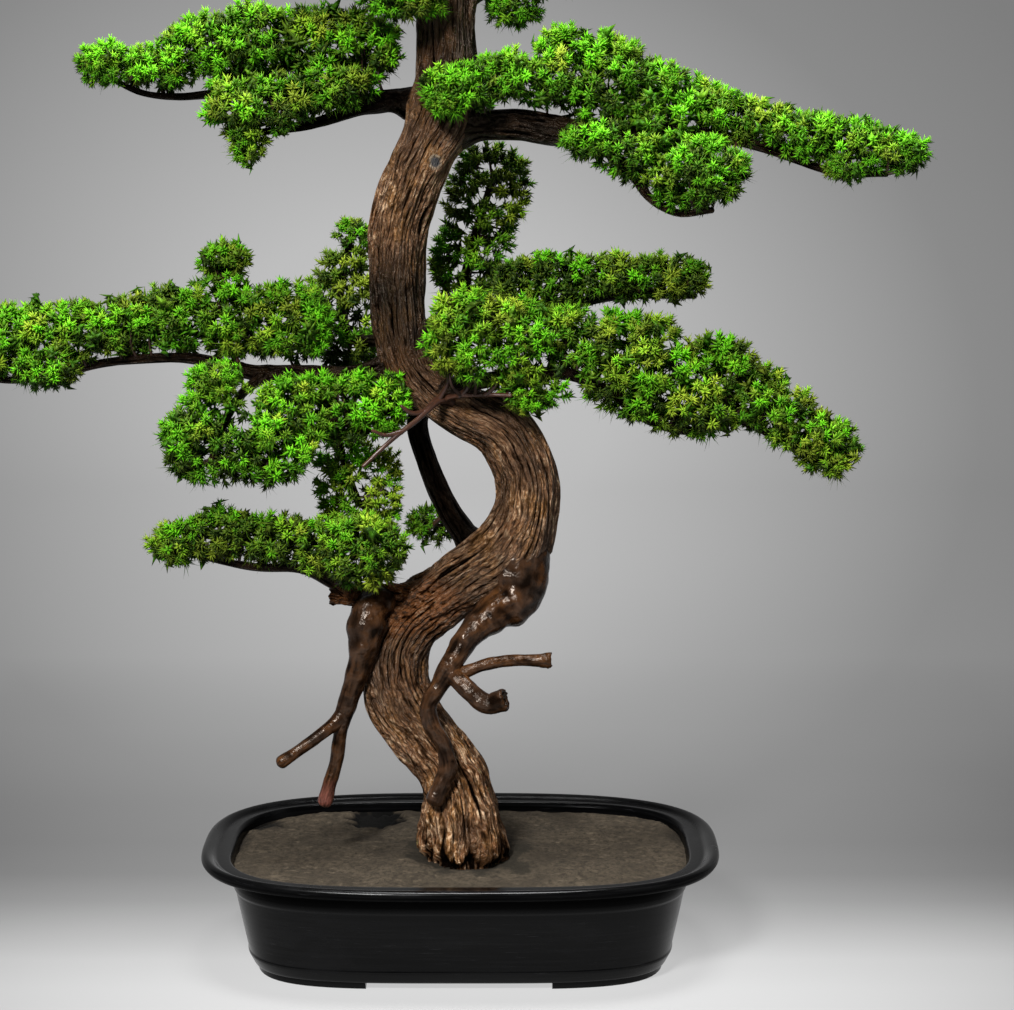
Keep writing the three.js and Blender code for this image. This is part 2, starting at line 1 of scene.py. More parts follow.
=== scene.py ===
# Myrtle bonsai in an oval tray pot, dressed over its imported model.
# The frame is in metres, with +Z up and +Y away from the camera. The tables are in millimetres
# from the middle of the pot, as in the part's source.
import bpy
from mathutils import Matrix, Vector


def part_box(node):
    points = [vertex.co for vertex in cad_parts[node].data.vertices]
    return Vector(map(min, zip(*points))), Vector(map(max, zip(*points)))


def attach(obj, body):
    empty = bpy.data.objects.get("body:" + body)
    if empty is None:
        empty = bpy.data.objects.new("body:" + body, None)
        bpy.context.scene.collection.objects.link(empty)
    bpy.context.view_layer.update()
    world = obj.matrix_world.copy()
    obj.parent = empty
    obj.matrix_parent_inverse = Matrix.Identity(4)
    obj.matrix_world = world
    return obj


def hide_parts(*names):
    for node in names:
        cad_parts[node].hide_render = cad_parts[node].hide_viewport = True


bl_info = {
    "name": "Myrtle Bonsai",
    "version": (1, 0, 0),
    "blender": (4, 5, 0),
    "location": "View3D > Sidebar > Bonsai",
    "description": "Builds a myrtle bonsai with barked wood, leafy sprays, soil and a tray pot",
    "category": "Add Mesh",
}

import math

import bmesh
import bpy
import numpy as np
from bpy.props import FloatProperty, FloatVectorProperty, IntProperty, PointerProperty
from mathutils import Matrix, Vector

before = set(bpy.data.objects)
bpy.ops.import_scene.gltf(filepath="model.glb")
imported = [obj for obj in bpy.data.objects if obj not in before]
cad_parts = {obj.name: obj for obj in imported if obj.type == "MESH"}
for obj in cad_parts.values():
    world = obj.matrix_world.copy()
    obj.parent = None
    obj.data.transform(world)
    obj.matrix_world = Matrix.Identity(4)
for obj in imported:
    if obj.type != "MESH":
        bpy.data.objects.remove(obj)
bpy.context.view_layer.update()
pot_low, pot_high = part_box("pot")
pot_middle = (pot_low + pot_high) / 2

MM = 0.001
TREE_SHIFT = np.array([pot_middle.x, pot_middle.y, 0.0])

# Shape tables, in millimetres

# Pot wall, each entry the inset from the rim's edge, the height and the corner's rounding
POT_OUTSIDE = [
    (50, 3.6, 0),
    (42, 5.5, 2),
    (37, 15, 1.2),
    (37.6, 17, 0.6),
    (32.5, 40, 4),
    (27.5, 64, 0.8),
    (26, 66, 0.8),
    (23.5, 81, 1.6),
    (3, 82.2, 1.4),
    (0, 85.5, 1.6),
    (1, 89.5, 1.6),
    (4.5, 91, 1.8),
    (9, 90, 1.6),
    (13, 87.4, 1.4),
    (23.5, 88.2, 1.1),
]
POT_INSIDE = [
    (25.8, 85, 1),
    (29.8, 66, 4),
    (36, 40, 4),
    (41, 17, 4),
    (50, 8.0, 0),
]
PLAN_POWER = 2.9
PLAN_SHARPENING = 40
FOOT_TOP = 5.1
FOOT_INSET = 45
FOOT_BAND = 22
FOOT_GAP_FRONT = 144
FOOT_GAP_SIDE = 96
FOOT_BEVEL = 0.5
FOOT_STEPS = 14

# Soil, and the inset and height of each ring of its wall
SOIL_TOP = 83
SOIL_FLOOR = 8.35
SOIL_MOUND = 3
SOIL_EDGE = 26.5
SOIL_WALLS = ((27.0, 80.4), (30.3, 66), (36.4, 40), (41.4, 17), (50.4, SOIL_FLOOR))

# Wood, each station a point on the middle line and the radius there: x, y, z, radius
TRUNK = [
    [2, -25, 37, 31],
    [2, -26, 60, 36],
    [2, -26, 81, 37.3],
    [1, -26, 100, 36],
    [0, -26, 119, 33],
    [-3, -25, 139, 27.8],
    [-12, -23, 159, 25],
    [-30, -19, 183, 25.5],
    [-46, -15, 205, 27],
    [-52, -10, 227, 25.5],
    [-50, -5, 248, 24],
    [-40, -2, 267, 24],
    [-21, -1, 285, 24.5],
    [6, -3, 305, 26],
    [32, -5, 323, 26.5],
    [47, -6, 345, 26],
    [53, -6, 369, 24.5],
    [51, -4, 392, 23.5],
    [34, 0, 420, 22.5],
    [4, 4, 436, 21.5],
    [-23, 6, 452, 19.5],
    [-41, 8, 476, 18.5],
    [-47, 8, 506, 20.5],
    [-49, 6, 543, 21.5],
    [-47, 4, 578, 22],
    [-37, 2, 613, 23],
    [-27, 0, 637, 24],
    [-15, 2, 662, 25],
    [-10, 6, 693, 23.5],
    [-9, 8, 747, 22],
    [-4, 10, 793, 19],
    [7, 8, 831, 15],
    [14, 2, 868, 10.5],
    [16, -4, 901, 7],
    [13, -5, 933, 4],
]

LIMBS = {
    "topLeft": [
        [-15, 4, 668, 12], [-38, 2, 675, 11], [-57, 0, 677, 8.5], [-84, -6, 669, 5.5],
        [-111, -12, 660, 4.2], [-154, -20, 653, 3],
    ],
    "topLeftUpper": [
        [-62, 0, 676, 6], [-99, 0, 678, 5], [-169, 8, 684, 4], [-215, 6, 680, 3],
        [-244, 4, 683, 2.6], [-268, 2, 694, 2.2],
    ],
    "topRight": [
        [-8, 2, 658, 17], [24, -6, 659, 12], [48, -12, 659, 12], [72, -16, 655, 12.4],
        [101, -12, 652, 9.5], [139, -6, 653, 7], [178, 0, 652, 5.6], [222, 2, 645, 4.6],
        [254, 2, 635, 4], [291, 2, 622, 3], [330, 0, 621, 2.4],
    ],
    "topRightLower": [
        [104, -14, 651, 6.5], [132, -30, 623, 4.2], [146, -34, 604, 3.4], [167, -36, 593, 3],
        [193, -36, 595, 2.6],
    ],
    "middleLeft": [
        [-40, 10, 477, 11], [-62, 10, 469, 9.6], [-86, 8, 464, 8], [-125, 2, 466, 7.2],
        [-160, -4, 467, 6.4], [-190, -6, 475, 5], [-218, -6, 479, 4.4], [-278, 0, 474, 3.6],
        [-313, 4, 466, 3.2], [-350, 6, 460, 2.8], [-380, 6, 463, 2.4],
    ],
    "middleLeftTwig": [[-172, -5, 469, 4], [-180, 0, 499, 3], [-183, 6, 539, 2.4]],
    "lowLeft": [
        [-150, -3, 466, 5], [-168, -26, 453, 4], [-180, -42, 433, 3.4], [-190, -46, 405, 2.6],
    ],
    "lowLeftInner": [
        [-36, 2, 459, 7], [-66, -10, 433, 5], [-104, -18, 427, 4.2], [-138, -34, 407, 3.4],
        [-166, -42, 395, 2.6],
    ],
    "hanging": [[-100, 6, 465, 4.6], [-98, 16, 433, 3.6], [-92, 18, 393, 3], [-80, 22, 359, 2.6]],
    "bottomLeft": [
        [-84, -10, 293, 6.5], [-98, -22, 303, 5], [-122, -24, 315, 4], [-160, -20, 316, 3.4],
        [-195, -20, 323, 2.8], [-224, -20, 333, 2.2],
    ],
    "brokenStump": [
        [-22, -2, 283, 15], [-47, -6, 288, 10.5], [-71, -8, 291, 9], [-99, -8, 292, 8.6],
    ],
    "darkBackLimb": [
        [-16, 22, 454, 11], [-34, 30, 427, 8.4], [-27, 34, 393, 8.6], [-15, 30, 364, 9.4],
        [1, 22, 338, 10.4], [19, 6, 321, 13],
    ],
    "backBottomTwig": [[-10, 28, 353, 3.6], [-20, 42, 341, 2.8], [-26, 54, 333, 2.4]],
    "burl": [
        [46, -6, 322, 24], [45, -15, 301, 24], [40, -22, 289, 19.6], [28, -29, 281, 15],
        [15, -35, 272, 11.7], [5, -41, 262, 9.7], [-4, -47, 249, 8.5], [-15, -51, 229, 7.2],
        [-24, -52, 213, 6.6], [-22, -53, 198, 6.6], [-12, -53, 180, 6.6], [-9, -54, 163, 7],
        [-14, -56, 150, 7.2], [-19, -58, 139, 7.4],
    ],
    "hollowRoot": [
        [-10, -48, 241, 6.5], [1, -55, 231, 7], [11, -60, 223, 7.4], [22, -63, 216, 7.8],
        [33, -65, 219, 9],
    ],
    "sideRoot": [
        [-4, -50, 235, 5], [8, -50, 240, 4.8], [24, -48, 245, 4.8], [42, -46, 247, 4.4],
        [60, -46, 247, 4.8], [69, -46, 247, 6],
    ],
    "leftRoot": [
        [-62, -16, 288, 13], [-71, -24, 281, 14], [-73, -28, 271, 15], [-75, -30, 258, 12.6],
        [-78, -30, 242, 9.8], [-84, -30, 222, 8], [-91, -30, 200, 6.8], [-95, -30, 180, 5.6],
        [-98, -31, 160, 5.2], [-103, -34, 143, 5.4], [-106, -34, 131, 6],
    ],
    "leftRootFork": [
        [-88, -30, 208, 6], [-96, -33, 196, 5.6], [-107, -39, 188, 5], [-123, -45, 177, 4.8],
        [-139, -48, 166, 5.2],
    ],
    "middleRight": [
        [-18, -2, 451, 9], [14, -14, 461, 6.4], [52, -20, 467, 5.6], [88, -22, 467, 5],
        [118, -24, 453, 4.4], [146, -24, 433, 4], [180, -18, 423, 3.6], [214, -10, 431, 3.2],
        [248, -2, 415, 2.8], [288, 2, 395, 2.4],
    ],
    "middleRightUpper": [
        [-38, 14, 489, 8], [-6, 30, 501, 5.6], [36, 36, 507, 5], [84, 38, 516, 4.2],
        [124, 42, 523, 3.6], [186, 44, 523, 2.4],
    ],
    "backUpper": [
        [-42, 16, 495, 8], [-24, 50, 499, 6], [-2, 76, 515, 5.2], [8, 84, 555, 4.2],
        [24, 86, 609, 3],
    ],
    "backLeft": [
        [-46, 16, 493, 7], [-66, 46, 487, 5.2], [-90, 68, 489, 4.4], [-97, 76, 523, 3.6],
        [-88, 76, 569, 2.6],
    ],
    "frontTwig": [
        [-4, -8, 443, 6], [-14, -24, 449, 5], [-32, -40, 435, 3], [-53, -50, 419, 2.6],
        [-73, -56, 401, 2.2],
    ],
    "frontTwigRight": [
        [-12, -22, 449, 4], [-2, -30, 452, 3], [22, -38, 454, 2.6], [40, -44, 454, 2.2],
    ],
    "crownLeft": [
        [-10, 4, 748, 9], [-34, -14, 759, 6], [-66, -16, 775, 5], [-104, -12, 783, 4],
        [-136, -8, 787, 3],
    ],
    "crownRight": [
        [-2, 12, 755, 9], [26, 22, 763, 6], [62, 22, 779, 5], [98, 18, 793, 4], [130, 14, 801, 3],
    ],
    "crownBack": [[-4, 14, 771, 8], [4, 46, 779, 6], [10, 78, 785, 4.4], [10, 104, 793, 3]],
    "crownFront": [[8, 4, 841, 7], [4, -24, 849, 4.4], [-2, -50, 853, 3]],
}

# Leafy sprays, each made of strands, each a row of clumps: middle, then half sizes
SPRAYS = {
    "spray_top_left": [
        [
            [-268, 2, 706, 32, 26, 21], [-226, 6, 702, 28, 28, 21], [-205, 8, 722, 25, 26, 25],
            [-161, 10, 718, 46, 42, 40], [-96, 6, 715, 45, 38, 40], [-66, 8, 718, 27, 28, 32],
        ],
        [[-155, -28, 674, 46, 32, 29], [-94, -18, 690, 38, 30, 24]],
        [[-157, -28, 662, 14, 14, 14], [-160, -30, 641, 15, 14, 15]],
    ],
    "spray_top_right": [
        [
            [-6, -47, 685, 28, 24, 26], [43, -26, 697, 38, 32, 24], [108, -8, 693, 48, 42, 42],
            [168, 6, 667, 46, 40, 38], [218, 8, 663, 32, 28, 24], [270, 4, 651, 36, 28, 25],
            [312, 3, 645, 32, 27, 22], [338, 2, 638, 30, 26, 21],
        ],
        [[108, -36, 649, 35, 26, 22], [178, -36, 625, 49, 34, 36]],
        [[284, 0, 638, 14, 14, 14], [298, -6, 626, 19, 16, 14]],
        [[80, -6, 718, 24, 24, 22]],
    ],
    "spray_crown_left": [[[-40, -36, 755, 38, 26, 23], [-100, -14, 801, 50, 38, 32]]],
    "spray_crown_right": [[[43, 30, 749, 28, 26, 21], [96, 20, 807, 52, 36, 32]]],
    "spray_crown_back": [[[10, 88, 809, 44, 40, 32]]],
    "spray_crown_front": [[[-2, -50, 867, 36, 30, 26]]],
    "spray_apex": [
        [[-30, -2, 891, 42, 38, 30], [18, -8, 939, 48, 42, 34], [62, 2, 893, 36, 34, 28]],
    ],
    "spray_back_upper": [[[4, 84, 547, 35, 30, 46], [24, 86, 607, 40, 32, 42]]],
    "spray_back_left": [
        [[-88, 68, 478, 30, 26, 32], [-97, 76, 525, 35, 30, 27], [-87, 78, 567, 19, 18, 21]],
    ],
    "spray_middle_left": [
        [
            [-366, 4, 492, 38, 34, 35], [-322, -4, 497, 36, 34, 32], [-262, 2, 503, 35, 32, 28],
            [-222, 0, 510, 38, 34, 31], [-174, 4, 507, 40, 34, 36], [-130, 6, 505, 38, 32, 38],
        ],
        [[-179, 4, 527, 20, 20, 20], [-183, 8, 552, 24, 22, 23]],
        [[-322, -16, 474, 34, 28, 24]],
    ],
    "spray_low_left": [
        [
            [-201, -46, 420, 33, 30, 38], [-149, -42, 416, 44, 30, 38],
            [-108, -14, 440, 32, 28, 34], [-66, -18, 444, 34, 28, 33],
        ],
        [[-192, -44, 443, 20, 20, 20], [-187, -44, 466, 25, 21, 18]],
        [[-130, -24, 450, 30, 24, 22]],
    ],
    "spray_hanging": [
        [[-93, 18, 390, 28, 24, 24], [-92, 18, 360, 28, 24, 24]],
        [[-84, 24, 400, 18, 18, 18], [-62, 34, 386, 18, 17, 20], [-60, 34, 356, 17, 16, 22]],
    ],
    "spray_bottom_left": [
        [
            [-217, -20, 335, 32, 28, 22], [-190, -22, 344, 26, 26, 26],
            [-150, -20, 339, 36, 30, 25], [-112, -32, 336, 28, 27, 26], [-76, -44, 333, 42, 32, 35],
        ],
    ],
    "spray_bottom_back": [[[-22, 58, 337, 27, 18, 19]]],
    "spray_middle_right": [
        [
            [6, -46, 501, 38, 32, 42], [78, -24, 495, 42, 30, 33], [140, -26, 474, 46, 36, 50],
            [183, -20, 449, 37, 32, 37], [223, -6, 453, 36, 30, 32], [259, 0, 431, 29, 27, 29],
            [290, 2, 407, 29, 26, 29],
        ],
        [[42, -36, 472, 18, 17, 16], [54, -32, 450, 24, 18, 15]],
        [[200, -12, 478, 34, 26, 26]],
    ],
    "spray_middle_right_upper": [
        [[60, 36, 532, 42, 27, 31], [126, 42, 539, 36, 28, 25], [176, 44, 537, 26, 24, 24]],
    ],
}

# How far each limb's bark goes: spacing of its ridges and their depth, in millimetres
BARK = {
    "topLeft": (4.2, 0.9),
    "topRight": (5.2, 1.1),
    "middleLeft": (4.2, 0.8),
    "darkBackLimb": (4.6, 0.9),
    "brokenStump": (4.4, 1.6),
    "middleRight": (3.6, 0.6),
    "middleRightUpper": (3.4, 0.5),
    "backUpper": (3.4, 0.5),
    "backLeft": (3.4, 0.5),
    "crownLeft": (3.6, 0.5),
    "crownRight": (3.6, 0.5),
    "crownBack": (3.6, 0.5),
    "crownFront": (3.4, 0.4),
    "topRightLower": (3.2, 0.4),
    "lowLeft": (3.0, 0.4),
    "lowLeftInner": (3.2, 0.4),
    "hanging": (3.0, 0.4),
    "bottomLeft": (3.2, 0.5),
    "topLeftUpper": (3.2, 0.5),
}
ROOTS = ("burl", "hollowRoot", "sideRoot", "leftRoot", "leftRootFork")
BROKEN_ROOTS = ("hollowRoot", "sideRoot")
DARK_LIMBS = ("darkBackLimb", "topLeft", "topLeftUpper")
# The twigs of the model are thicker than the real ones, by this share
TWIG_THIN = 0.72
FRONT_TWIGS = ("middleLeftTwig", "backBottomTwig", "frontTwig", "frontTwigRight")

# Small forks of the twigs that show, and of no others
TWIG_FORKS = [
    [[-18, -25, 446, 3], [-13, -29, 454, 2.2], [-9, -31, 462, 1.8], [-8, -32, 470, 1.5]],
    [[0, -31, 452, 2.6], [6, -34, 458, 2.1], [9, -35, 467, 1.7]],
    [[20, -38, 454, 2.4], [27, -40, 460, 1.9], [31, -41, 468, 1.5]],
    [[-24, -33, 441, 2.4], [-36, -42, 440, 1.9], [-44, -46, 446, 1.5]],
    [[-44, -46, 426, 2.4], [-56, -50, 424, 1.8], [-66, -53, 428, 1.4]],
]

# How green each spray is: its light, partly its own tone and partly painted light and shade, then its yellow
SPRAY_TONES = {
    "spray_top_left": (0.56, 0.34),
    "spray_top_right": (0.6, 0.26),
    "spray_crown_left": (0.5, 0.3),
    "spray_crown_right": (0.5, 0.3),
    "spray_crown_back": (0.4, 0.3),
    "spray_crown_front": (0.55, 0.3),
    "spray_apex": (0.55, 0.3),
    "spray_back_upper": (0.5, 0.5),
    "spray_back_left": (0.42, 0.5),
    "spray_middle_left": (0.58, 0.38),
    "spray_low_left": (0.6, 0.26),
    "spray_hanging": (0.8, 0.6),
    "spray_bottom_left": (0.52, 0.5),
    "spray_bottom_back": (0.35, 0.5),
    "spray_middle_right": (0.66, 0.46),
    "spray_middle_right_upper": (0.46, 0.42),
}
# The sprays that let the light through, and how much wider apart their shoots are
SPARSE = ("spray_back_upper", "spray_back_left", "spray_hanging", "spray_crown_right", "spray_bottom_back")
SPARSE_SPACING = 1.12
SPARSE_INNER_SPACING = 1.9


# Meshes


def deselect_all():
    if bpy.context.object and bpy.context.object.mode != "OBJECT":
        bpy.ops.object.mode_set(mode="OBJECT")
    bpy.ops.object.select_all(action="DESELECT")


def piece_from(name, points, *face_groups):
    """An object at the origin, from points in metres and groups of faces of one size"""
    mesh = bpy.data.meshes.new(name)
    points = np.asarray(points, np.float32)
    loops = np.concatenate([np.asarray(group, np.int32).ravel() for group in face_groups])
    sizes = np.concatenate([np.full(len(group), group.shape[1]) for group in face_groups])
    mesh.vertices.add(len(points))
    mesh.vertices.foreach_set("co", points.ravel())
    mesh.loops.add(len(loops))
    mesh.loops.foreach_set("vertex_index", loops)
    mesh.polygons.add(len(sizes))
    mesh.polygons.foreach_set("loop_start", np.concatenate([[0], np.cumsum(sizes)[:-1]]).astype(np.int32))
    mesh.update(calc_edges=True)
    piece = bpy.data.objects.new(name, mesh)
    bpy.context.scene.collection.objects.link(piece)
    return piece


def store(piece, name, values):
    """Keeps a number, vector or colour for every point of the piece, for its material to read"""
    values = np.asarray(values, np.float32)
    if values.ndim == 1:
        kind, key = "FLOAT", "value"
    elif values.shape[1] == 3:
        kind, key = "FLOAT_VECTOR", "vector"
    else:
        kind, key = "FLOAT_COLOR", "color"
    layer = piece.data.attributes.new(name, kind, "POINT")
    layer.data.foreach_set(key, values.ravel())


def finish_piece(piece, material, slot, *nodes):
    piece.data.materials.clear()
    piece.data.materials.append(material)
    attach(piece, "root")
    if nodes:
        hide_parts(*nodes)


def smoothed(piece):
    piece.data.polygons.foreach_set("use_smooth", np.ones(len(piece.data.polygons), bool))
    piece.data.update()


def noise(points, seed=0):
    """Smooth noise between about -1 and 1, with cells of size 1"""
    draw = np.random.default_rng(seed)
    slopes = draw.normal(size=(4096, 3))
    slopes /= np.linalg.norm(slopes, axis=1)[:, None]
    cell = np.floor(points).astype(np.int64)
    part = points - cell
    fade = part**3 * (part * (part * 6 - 15) + 10)
    total = np.zeros(len(points))
    for corner in np.ndindex(2, 2, 2):
        spot = cell + corner
        key = (spot[:, 0] * 73856093 ^ spot[:, 1] * 19349663 ^ spot[:, 2] * 83492791) & 4095
        rise = ((part - corner) * slopes[key]).sum(1)
        total += rise * np.where(corner, fade, 1 - fade).prod(1)
    return total * 1.6


def step(low, high, value):
    share = np.clip((value - low) / (high - low), 0, 1)
    return share * share * (3 - 2 * share)


# Materials


def toned(colour, share):
    """The colour made darker or paler"""
    return tuple(part * share for part in colour)


class Shader:
    """A material's nodes, added and linked in one line each"""

    def __init__(self, name):
        self.material = bpy.data.materials.new(name)
        self.material.use_nodes = True
        self.tree = self.material.node_tree
        self.tree.nodes.clear()
        self.output = self.tree.nodes.new("ShaderNodeOutputMaterial")
        self.surface = self.tree.nodes.new("ShaderNodeBsdfPrincipled")
        self.tree.links.new(self.surface.outputs[0], self.output.inputs[0])

    def add(self, kind, links=(), **settings):
        node = self.tree.nodes.new(kind)
        for key, value in settings.items():
            setattr(node, key, value)
        for socket, source in dict(links).items():
            self.join(source, node.inputs[socket])
        return node

    def join(self, source, socket):
        if isinstance(source, bpy.types.NodeSocket):
            self.tree.links.new(source, socket)
        else:
            socket.default_value = source

    def set(self, **values):
        """Values or links for the surface shader, with _ for a space in the socket's name"""
        for key, value in values.items():
            self.join(value, self.surface.inputs[key.replace("_", " ")])

    def place(self):
        return self.add("ShaderNodeTexCoord").outputs["Object"]

    def kept(self, name, output="Fac"):
        return self.add("ShaderNodeAttribute", attribute_name=name).outputs[output]

    def scaled(self, vector, scale, turn=(0, 0, 0)):
        node = self.add("ShaderNodeMapping", {"Vector": vector, "Scale": scale, "Rotation": turn})
        return node.outputs[0]

    def clouds(self, vector, scale, detail=3.0, roughness=0.55):
        links = {"Vector": vector, "Scale": scale, "Detail": detail, "Roughness": roughness}
        return self.add("ShaderNodeTexNoise", links).outputs[0]

    def ramp(self, value, *stops):
        node = self.add("ShaderNodeValToRGB", {0: value})
        steps = node.color_ramp.elements
        while len(steps) < len(stops):
            steps.new(0.5)
        for element, (position, colour) in zip(steps, stops):
            element.position = position
            element.color = colour if len(colour) == 4 else (*colour, 1)
        return node.outputs[0]

    def greys(self, value, stops):
        return self.ramp(value, *[(position, (level,) * 3) for position, level in stops])

    def away(self, place, middle, sizes):
        """How far a place is from a middle given in millimetres, in shares of an oval's half sizes"""
        scale = np.array([1 / (size * MM) for size in sizes])
        middle = (np.array(middle) * MM + TREE_SHIFT) * scale
        links = {0: self.scaled(place, tuple(scale)), 1: tuple(middle)}
        return self.add("ShaderNodeVectorMath", links, operation="DISTANCE").outputs["Value"]

    def spread(self, value, low, high, to_low=0.0, to_high=1.0):
        links = {"Value": value, "From Min": low, "From Max": high, "To Min": to_low, "To Max": to_high}
        return self.add("ShaderNodeMapRange", links, clamp=True).outputs[0]

    def mix(self, share, first, second, blend="MIX"):
        node = self.add("ShaderNodeMix", data_type="RGBA", blend_type=blend)
        self.join(share, node.inputs[0])
        for source, socket in ((first, node.inputs[6]), (second, node.inputs[7])):
            self.join(source if isinstance(source, bpy.types.NodeSocket) else (*source[:3], 1), socket)
        return node.outputs[2]

    def calculated(self, first, second, operation):
        return self.add("ShaderNodeMath", {0: first, 1: second}, operation=operation).outputs[0]

    def plus(self, first, second):
        return self.calculated(first, second, "ADD")

    def minus(self, first, second):
        return self.calculated(first, second, "SUBTRACT")

    def times(self, first, second):
        return self.calculated(first, second, "MULTIPLY")

    def over(self, first, second):
        return self.calculated(first, second, "DIVIDE")

    def relief(self, height, strength, distance, under=None):
        links = {"Height": height, "Strength": strength, "Distance": distance}
        if under is not None:
            links["Normal"] = under
        return self.add("ShaderNodeBump", links).outputs[0]


# Wood

# Points worked out between two stations of a line, and the spacing of the plain lines, in millimetres
LINE_STEPS = 40
SKELETON_SPACING = 6.0
# The farthest that a joint swells from its own line, in millimetres, and by what share of that
JOINT = 20
JOINT_RISE = 0.2
ROOT_JOINT_RISE = 0.09
# How a broken end goes on past its last point and how wide it is there, in shares of its radius
CUP_RISE = np.array([0.1, 0.3, 0.4, 0.3, -0.1, -0.3, -0.32])
CUP_WIDTH = np.array([1.02, 0.96, 0.84, 0.7, 0.6, 0.48, 0.2])


def smooth_line(stations, spacing):
    """The smooth line through the stations: middles, radii, tangents and lengths along it"""
    knots = np.asarray(stations, float)
    points, radii = knots[:, :3], knots[:, 3]
    held = np.vstack([2 * points[0] - points[1], points, 2 * points[-1] - points[-2]])
    fine = [points[:1]]
    for i in range(len(points) - 1):
        a, b, c, d = held[i:i + 4]
        da, db, dc = (max(np.linalg.norm(q - p) ** 0.5, 1e-4) for p, q in ((a, b), (b, c), (c, d)))
        leave = ((b - a) / da - (c - a) / (da + db) + (c - b) / db) * db
        arrive = ((c - b) / db - (d - b) / (db + dc) + (d - c) / dc) * db
        t = (np.arange(1, LINE_STEPS + 1) / LINE_STEPS)[:, None]
        fine.append(b + leave * t + (3 * (c - b) - 2 * leave - arrive) * t**2
                    + (2 * (b - c) + leave + arrive) * t**3)
    fine = np.vstack(fine)
    lengths = np.concatenate([[0], np.cumsum(np.linalg.norm(np.diff(fine, axis=0), axis=1))])
    knot_lengths = lengths[::LINE_STEPS]
    count = max(4, round(lengths[-1] / spacing))
    along = np.linspace(0, lengths[-1], count + 1)
    middles = np.stack([np.interp(along, lengths, fine[:, k]) for k in range(3)], 1)
    span = np.clip(np.searchsorted(knot_lengths, along, side="right") - 1, 0, len(points) - 2)
    share = step(knot_lengths[span], knot_lengths[span + 1], along)
    tangents = np.gradient(middles, axis=0)
    tangents /= np.linalg.norm(tangents, axis=1)[:, None]
    return middles, radii[span] + (radii[span + 1] - radii[span]) * share, tangents, along


def carried_frames(tangents):
    """Two directions across the line at each point, carried along it without twist"""
    first = tangents[0]
    side = np.cross(first, np.cross(first, np.eye(3)[np.argmin(np.abs(first))]))
    sides = [side / np.linalg.norm(side)]
    for before, after in zip(tangents[:-1], tangents[1:]):
        axis = np.cross(before, after)
        sine, cosine = np.linalg.norm(axis), before @ after
        last = sides[-1]
        if sine > 1e-9:
            axis = axis / sine
            last = last * cosine + np.cross(axis, last) * sine + axis * (axis @ last) * (1 - cosine)
        last = last - after * (last @ after)
        sides.append(last / np.linalg.norm(last))
    sides = np.array(sides)
    return sides, np.cross(tangents, sides)


SKELETON = {
    name: smooth_line(stations, SKELETON_SPACING)[:2]
    for name, stations in [("trunk", TRUNK), *LIMBS.items()]
}


def distance_to(points, middles, radii):
    """How far each point lies outside the surface of wood along a line, and the wood's radius there"""
    nearest, radius = np.full(len(points), 1e9), np.zeros(len(points))
    for a, b, ra, rb in zip(middles[:-1], middles[1:], radii[:-1], radii[1:]):
        span = b - a
        t = np.clip(((points - a) @ span) / (span @ span), 0, 1)
        here = ra + (rb - ra) * t
        gap = np.linalg.norm(points - a - t[:, None] * span, axis=1) - here
        closer = gap < nearest
        nearest[closer], radius[closer] = gap[closer], here[closer]
    return nearest, radius


def fillet(points, own, girths):
    """How much the wood of one limb swells where another joins it, in millimetres"""
    rise = ROOT_JOINT_RISE if own in ROOTS else JOINT_RISE
    swelling = np.zeros(len(points))
    low, high = points.min(0), points.max(0)
    for other, (middles, radii) in SKELETON.items():
        if other == own:
            continue
        span = radii.max() + JOINT
        if (middles.max(0) + span < low).any() or (middles.min(0) - span > high).any():
            continue
        near = ((points > middles.min(0) - span) & (points < middles.max(0) + span)).all(1)
        if near.any():
            gap, radius = distance_to(points[near], middles, radii)
            reach = np.clip(1.25 * np.minimum(radius, girths[near]), 2.5, JOINT)
            h = np.clip(1 - np.abs(gap) / reach, 0, 1)
            swelling[near] = np.maximum(swelling[near], h * h * reach * rise)
    return swelling


def domed(line, steepness=0.8, steps=4, cup=False):
    """The line with both its ends rounded off, or its far end broken off hollow"""
    middles, radii, tangents, along = line
    turn = np.linspace(0, math.pi / 2, steps + 2)[1:-1]
    rise, shrink = np.sin(turn) * steepness, np.cos(turn)
    far_rise, far_width, far_steps = (CUP_RISE, CUP_WIDTH, len(CUP_RISE)) if cup else (rise, shrink, steps)
    start = middles[0] - tangents[0] * (rise[::-1, None] * radii[0])
    end = middles[-1] + tangents[-1] * (far_rise[:, None] * radii[-1])
    middles = np.vstack([start, middles, end])
    beyond = along[-1] + np.arange(1, far_steps + 1) / far_steps * radii[-1]
    along = np.concatenate([-rise[::-1] * radii[0], along, beyond])
    radii = np.concatenate([shrink[::-1] * radii[0], radii, far_width * radii[-1]])
    first, last = np.repeat(tangents[:1], steps, 0), np.repeat(tangents[-1:], far_steps, 0)
    return middles, radii, np.vstack([first, tangents, last]), along


def tube_faces(rings, sides):
    """The faces of a tube of rings of points that is closed by two more points, its ends' middles"""
    corner = np.arange(sides)
    after = (corner + 1) % sides
    ring = (np.arange(rings - 1) * sides)[:, None]
    quads = np.stack([ring + corner, ring + after, ring + after + sides, ring + corner + sides], 2)
    last, middle = (rings - 1) * sides, rings * sides
    near = np.stack([np.full(sides, middle), after, corner], 1)
    far = np.stack([np.full(sides, middle + 1), last + corner, last + after], 1)
    return quads.reshape(-1, 4), np.vstack([near, far])


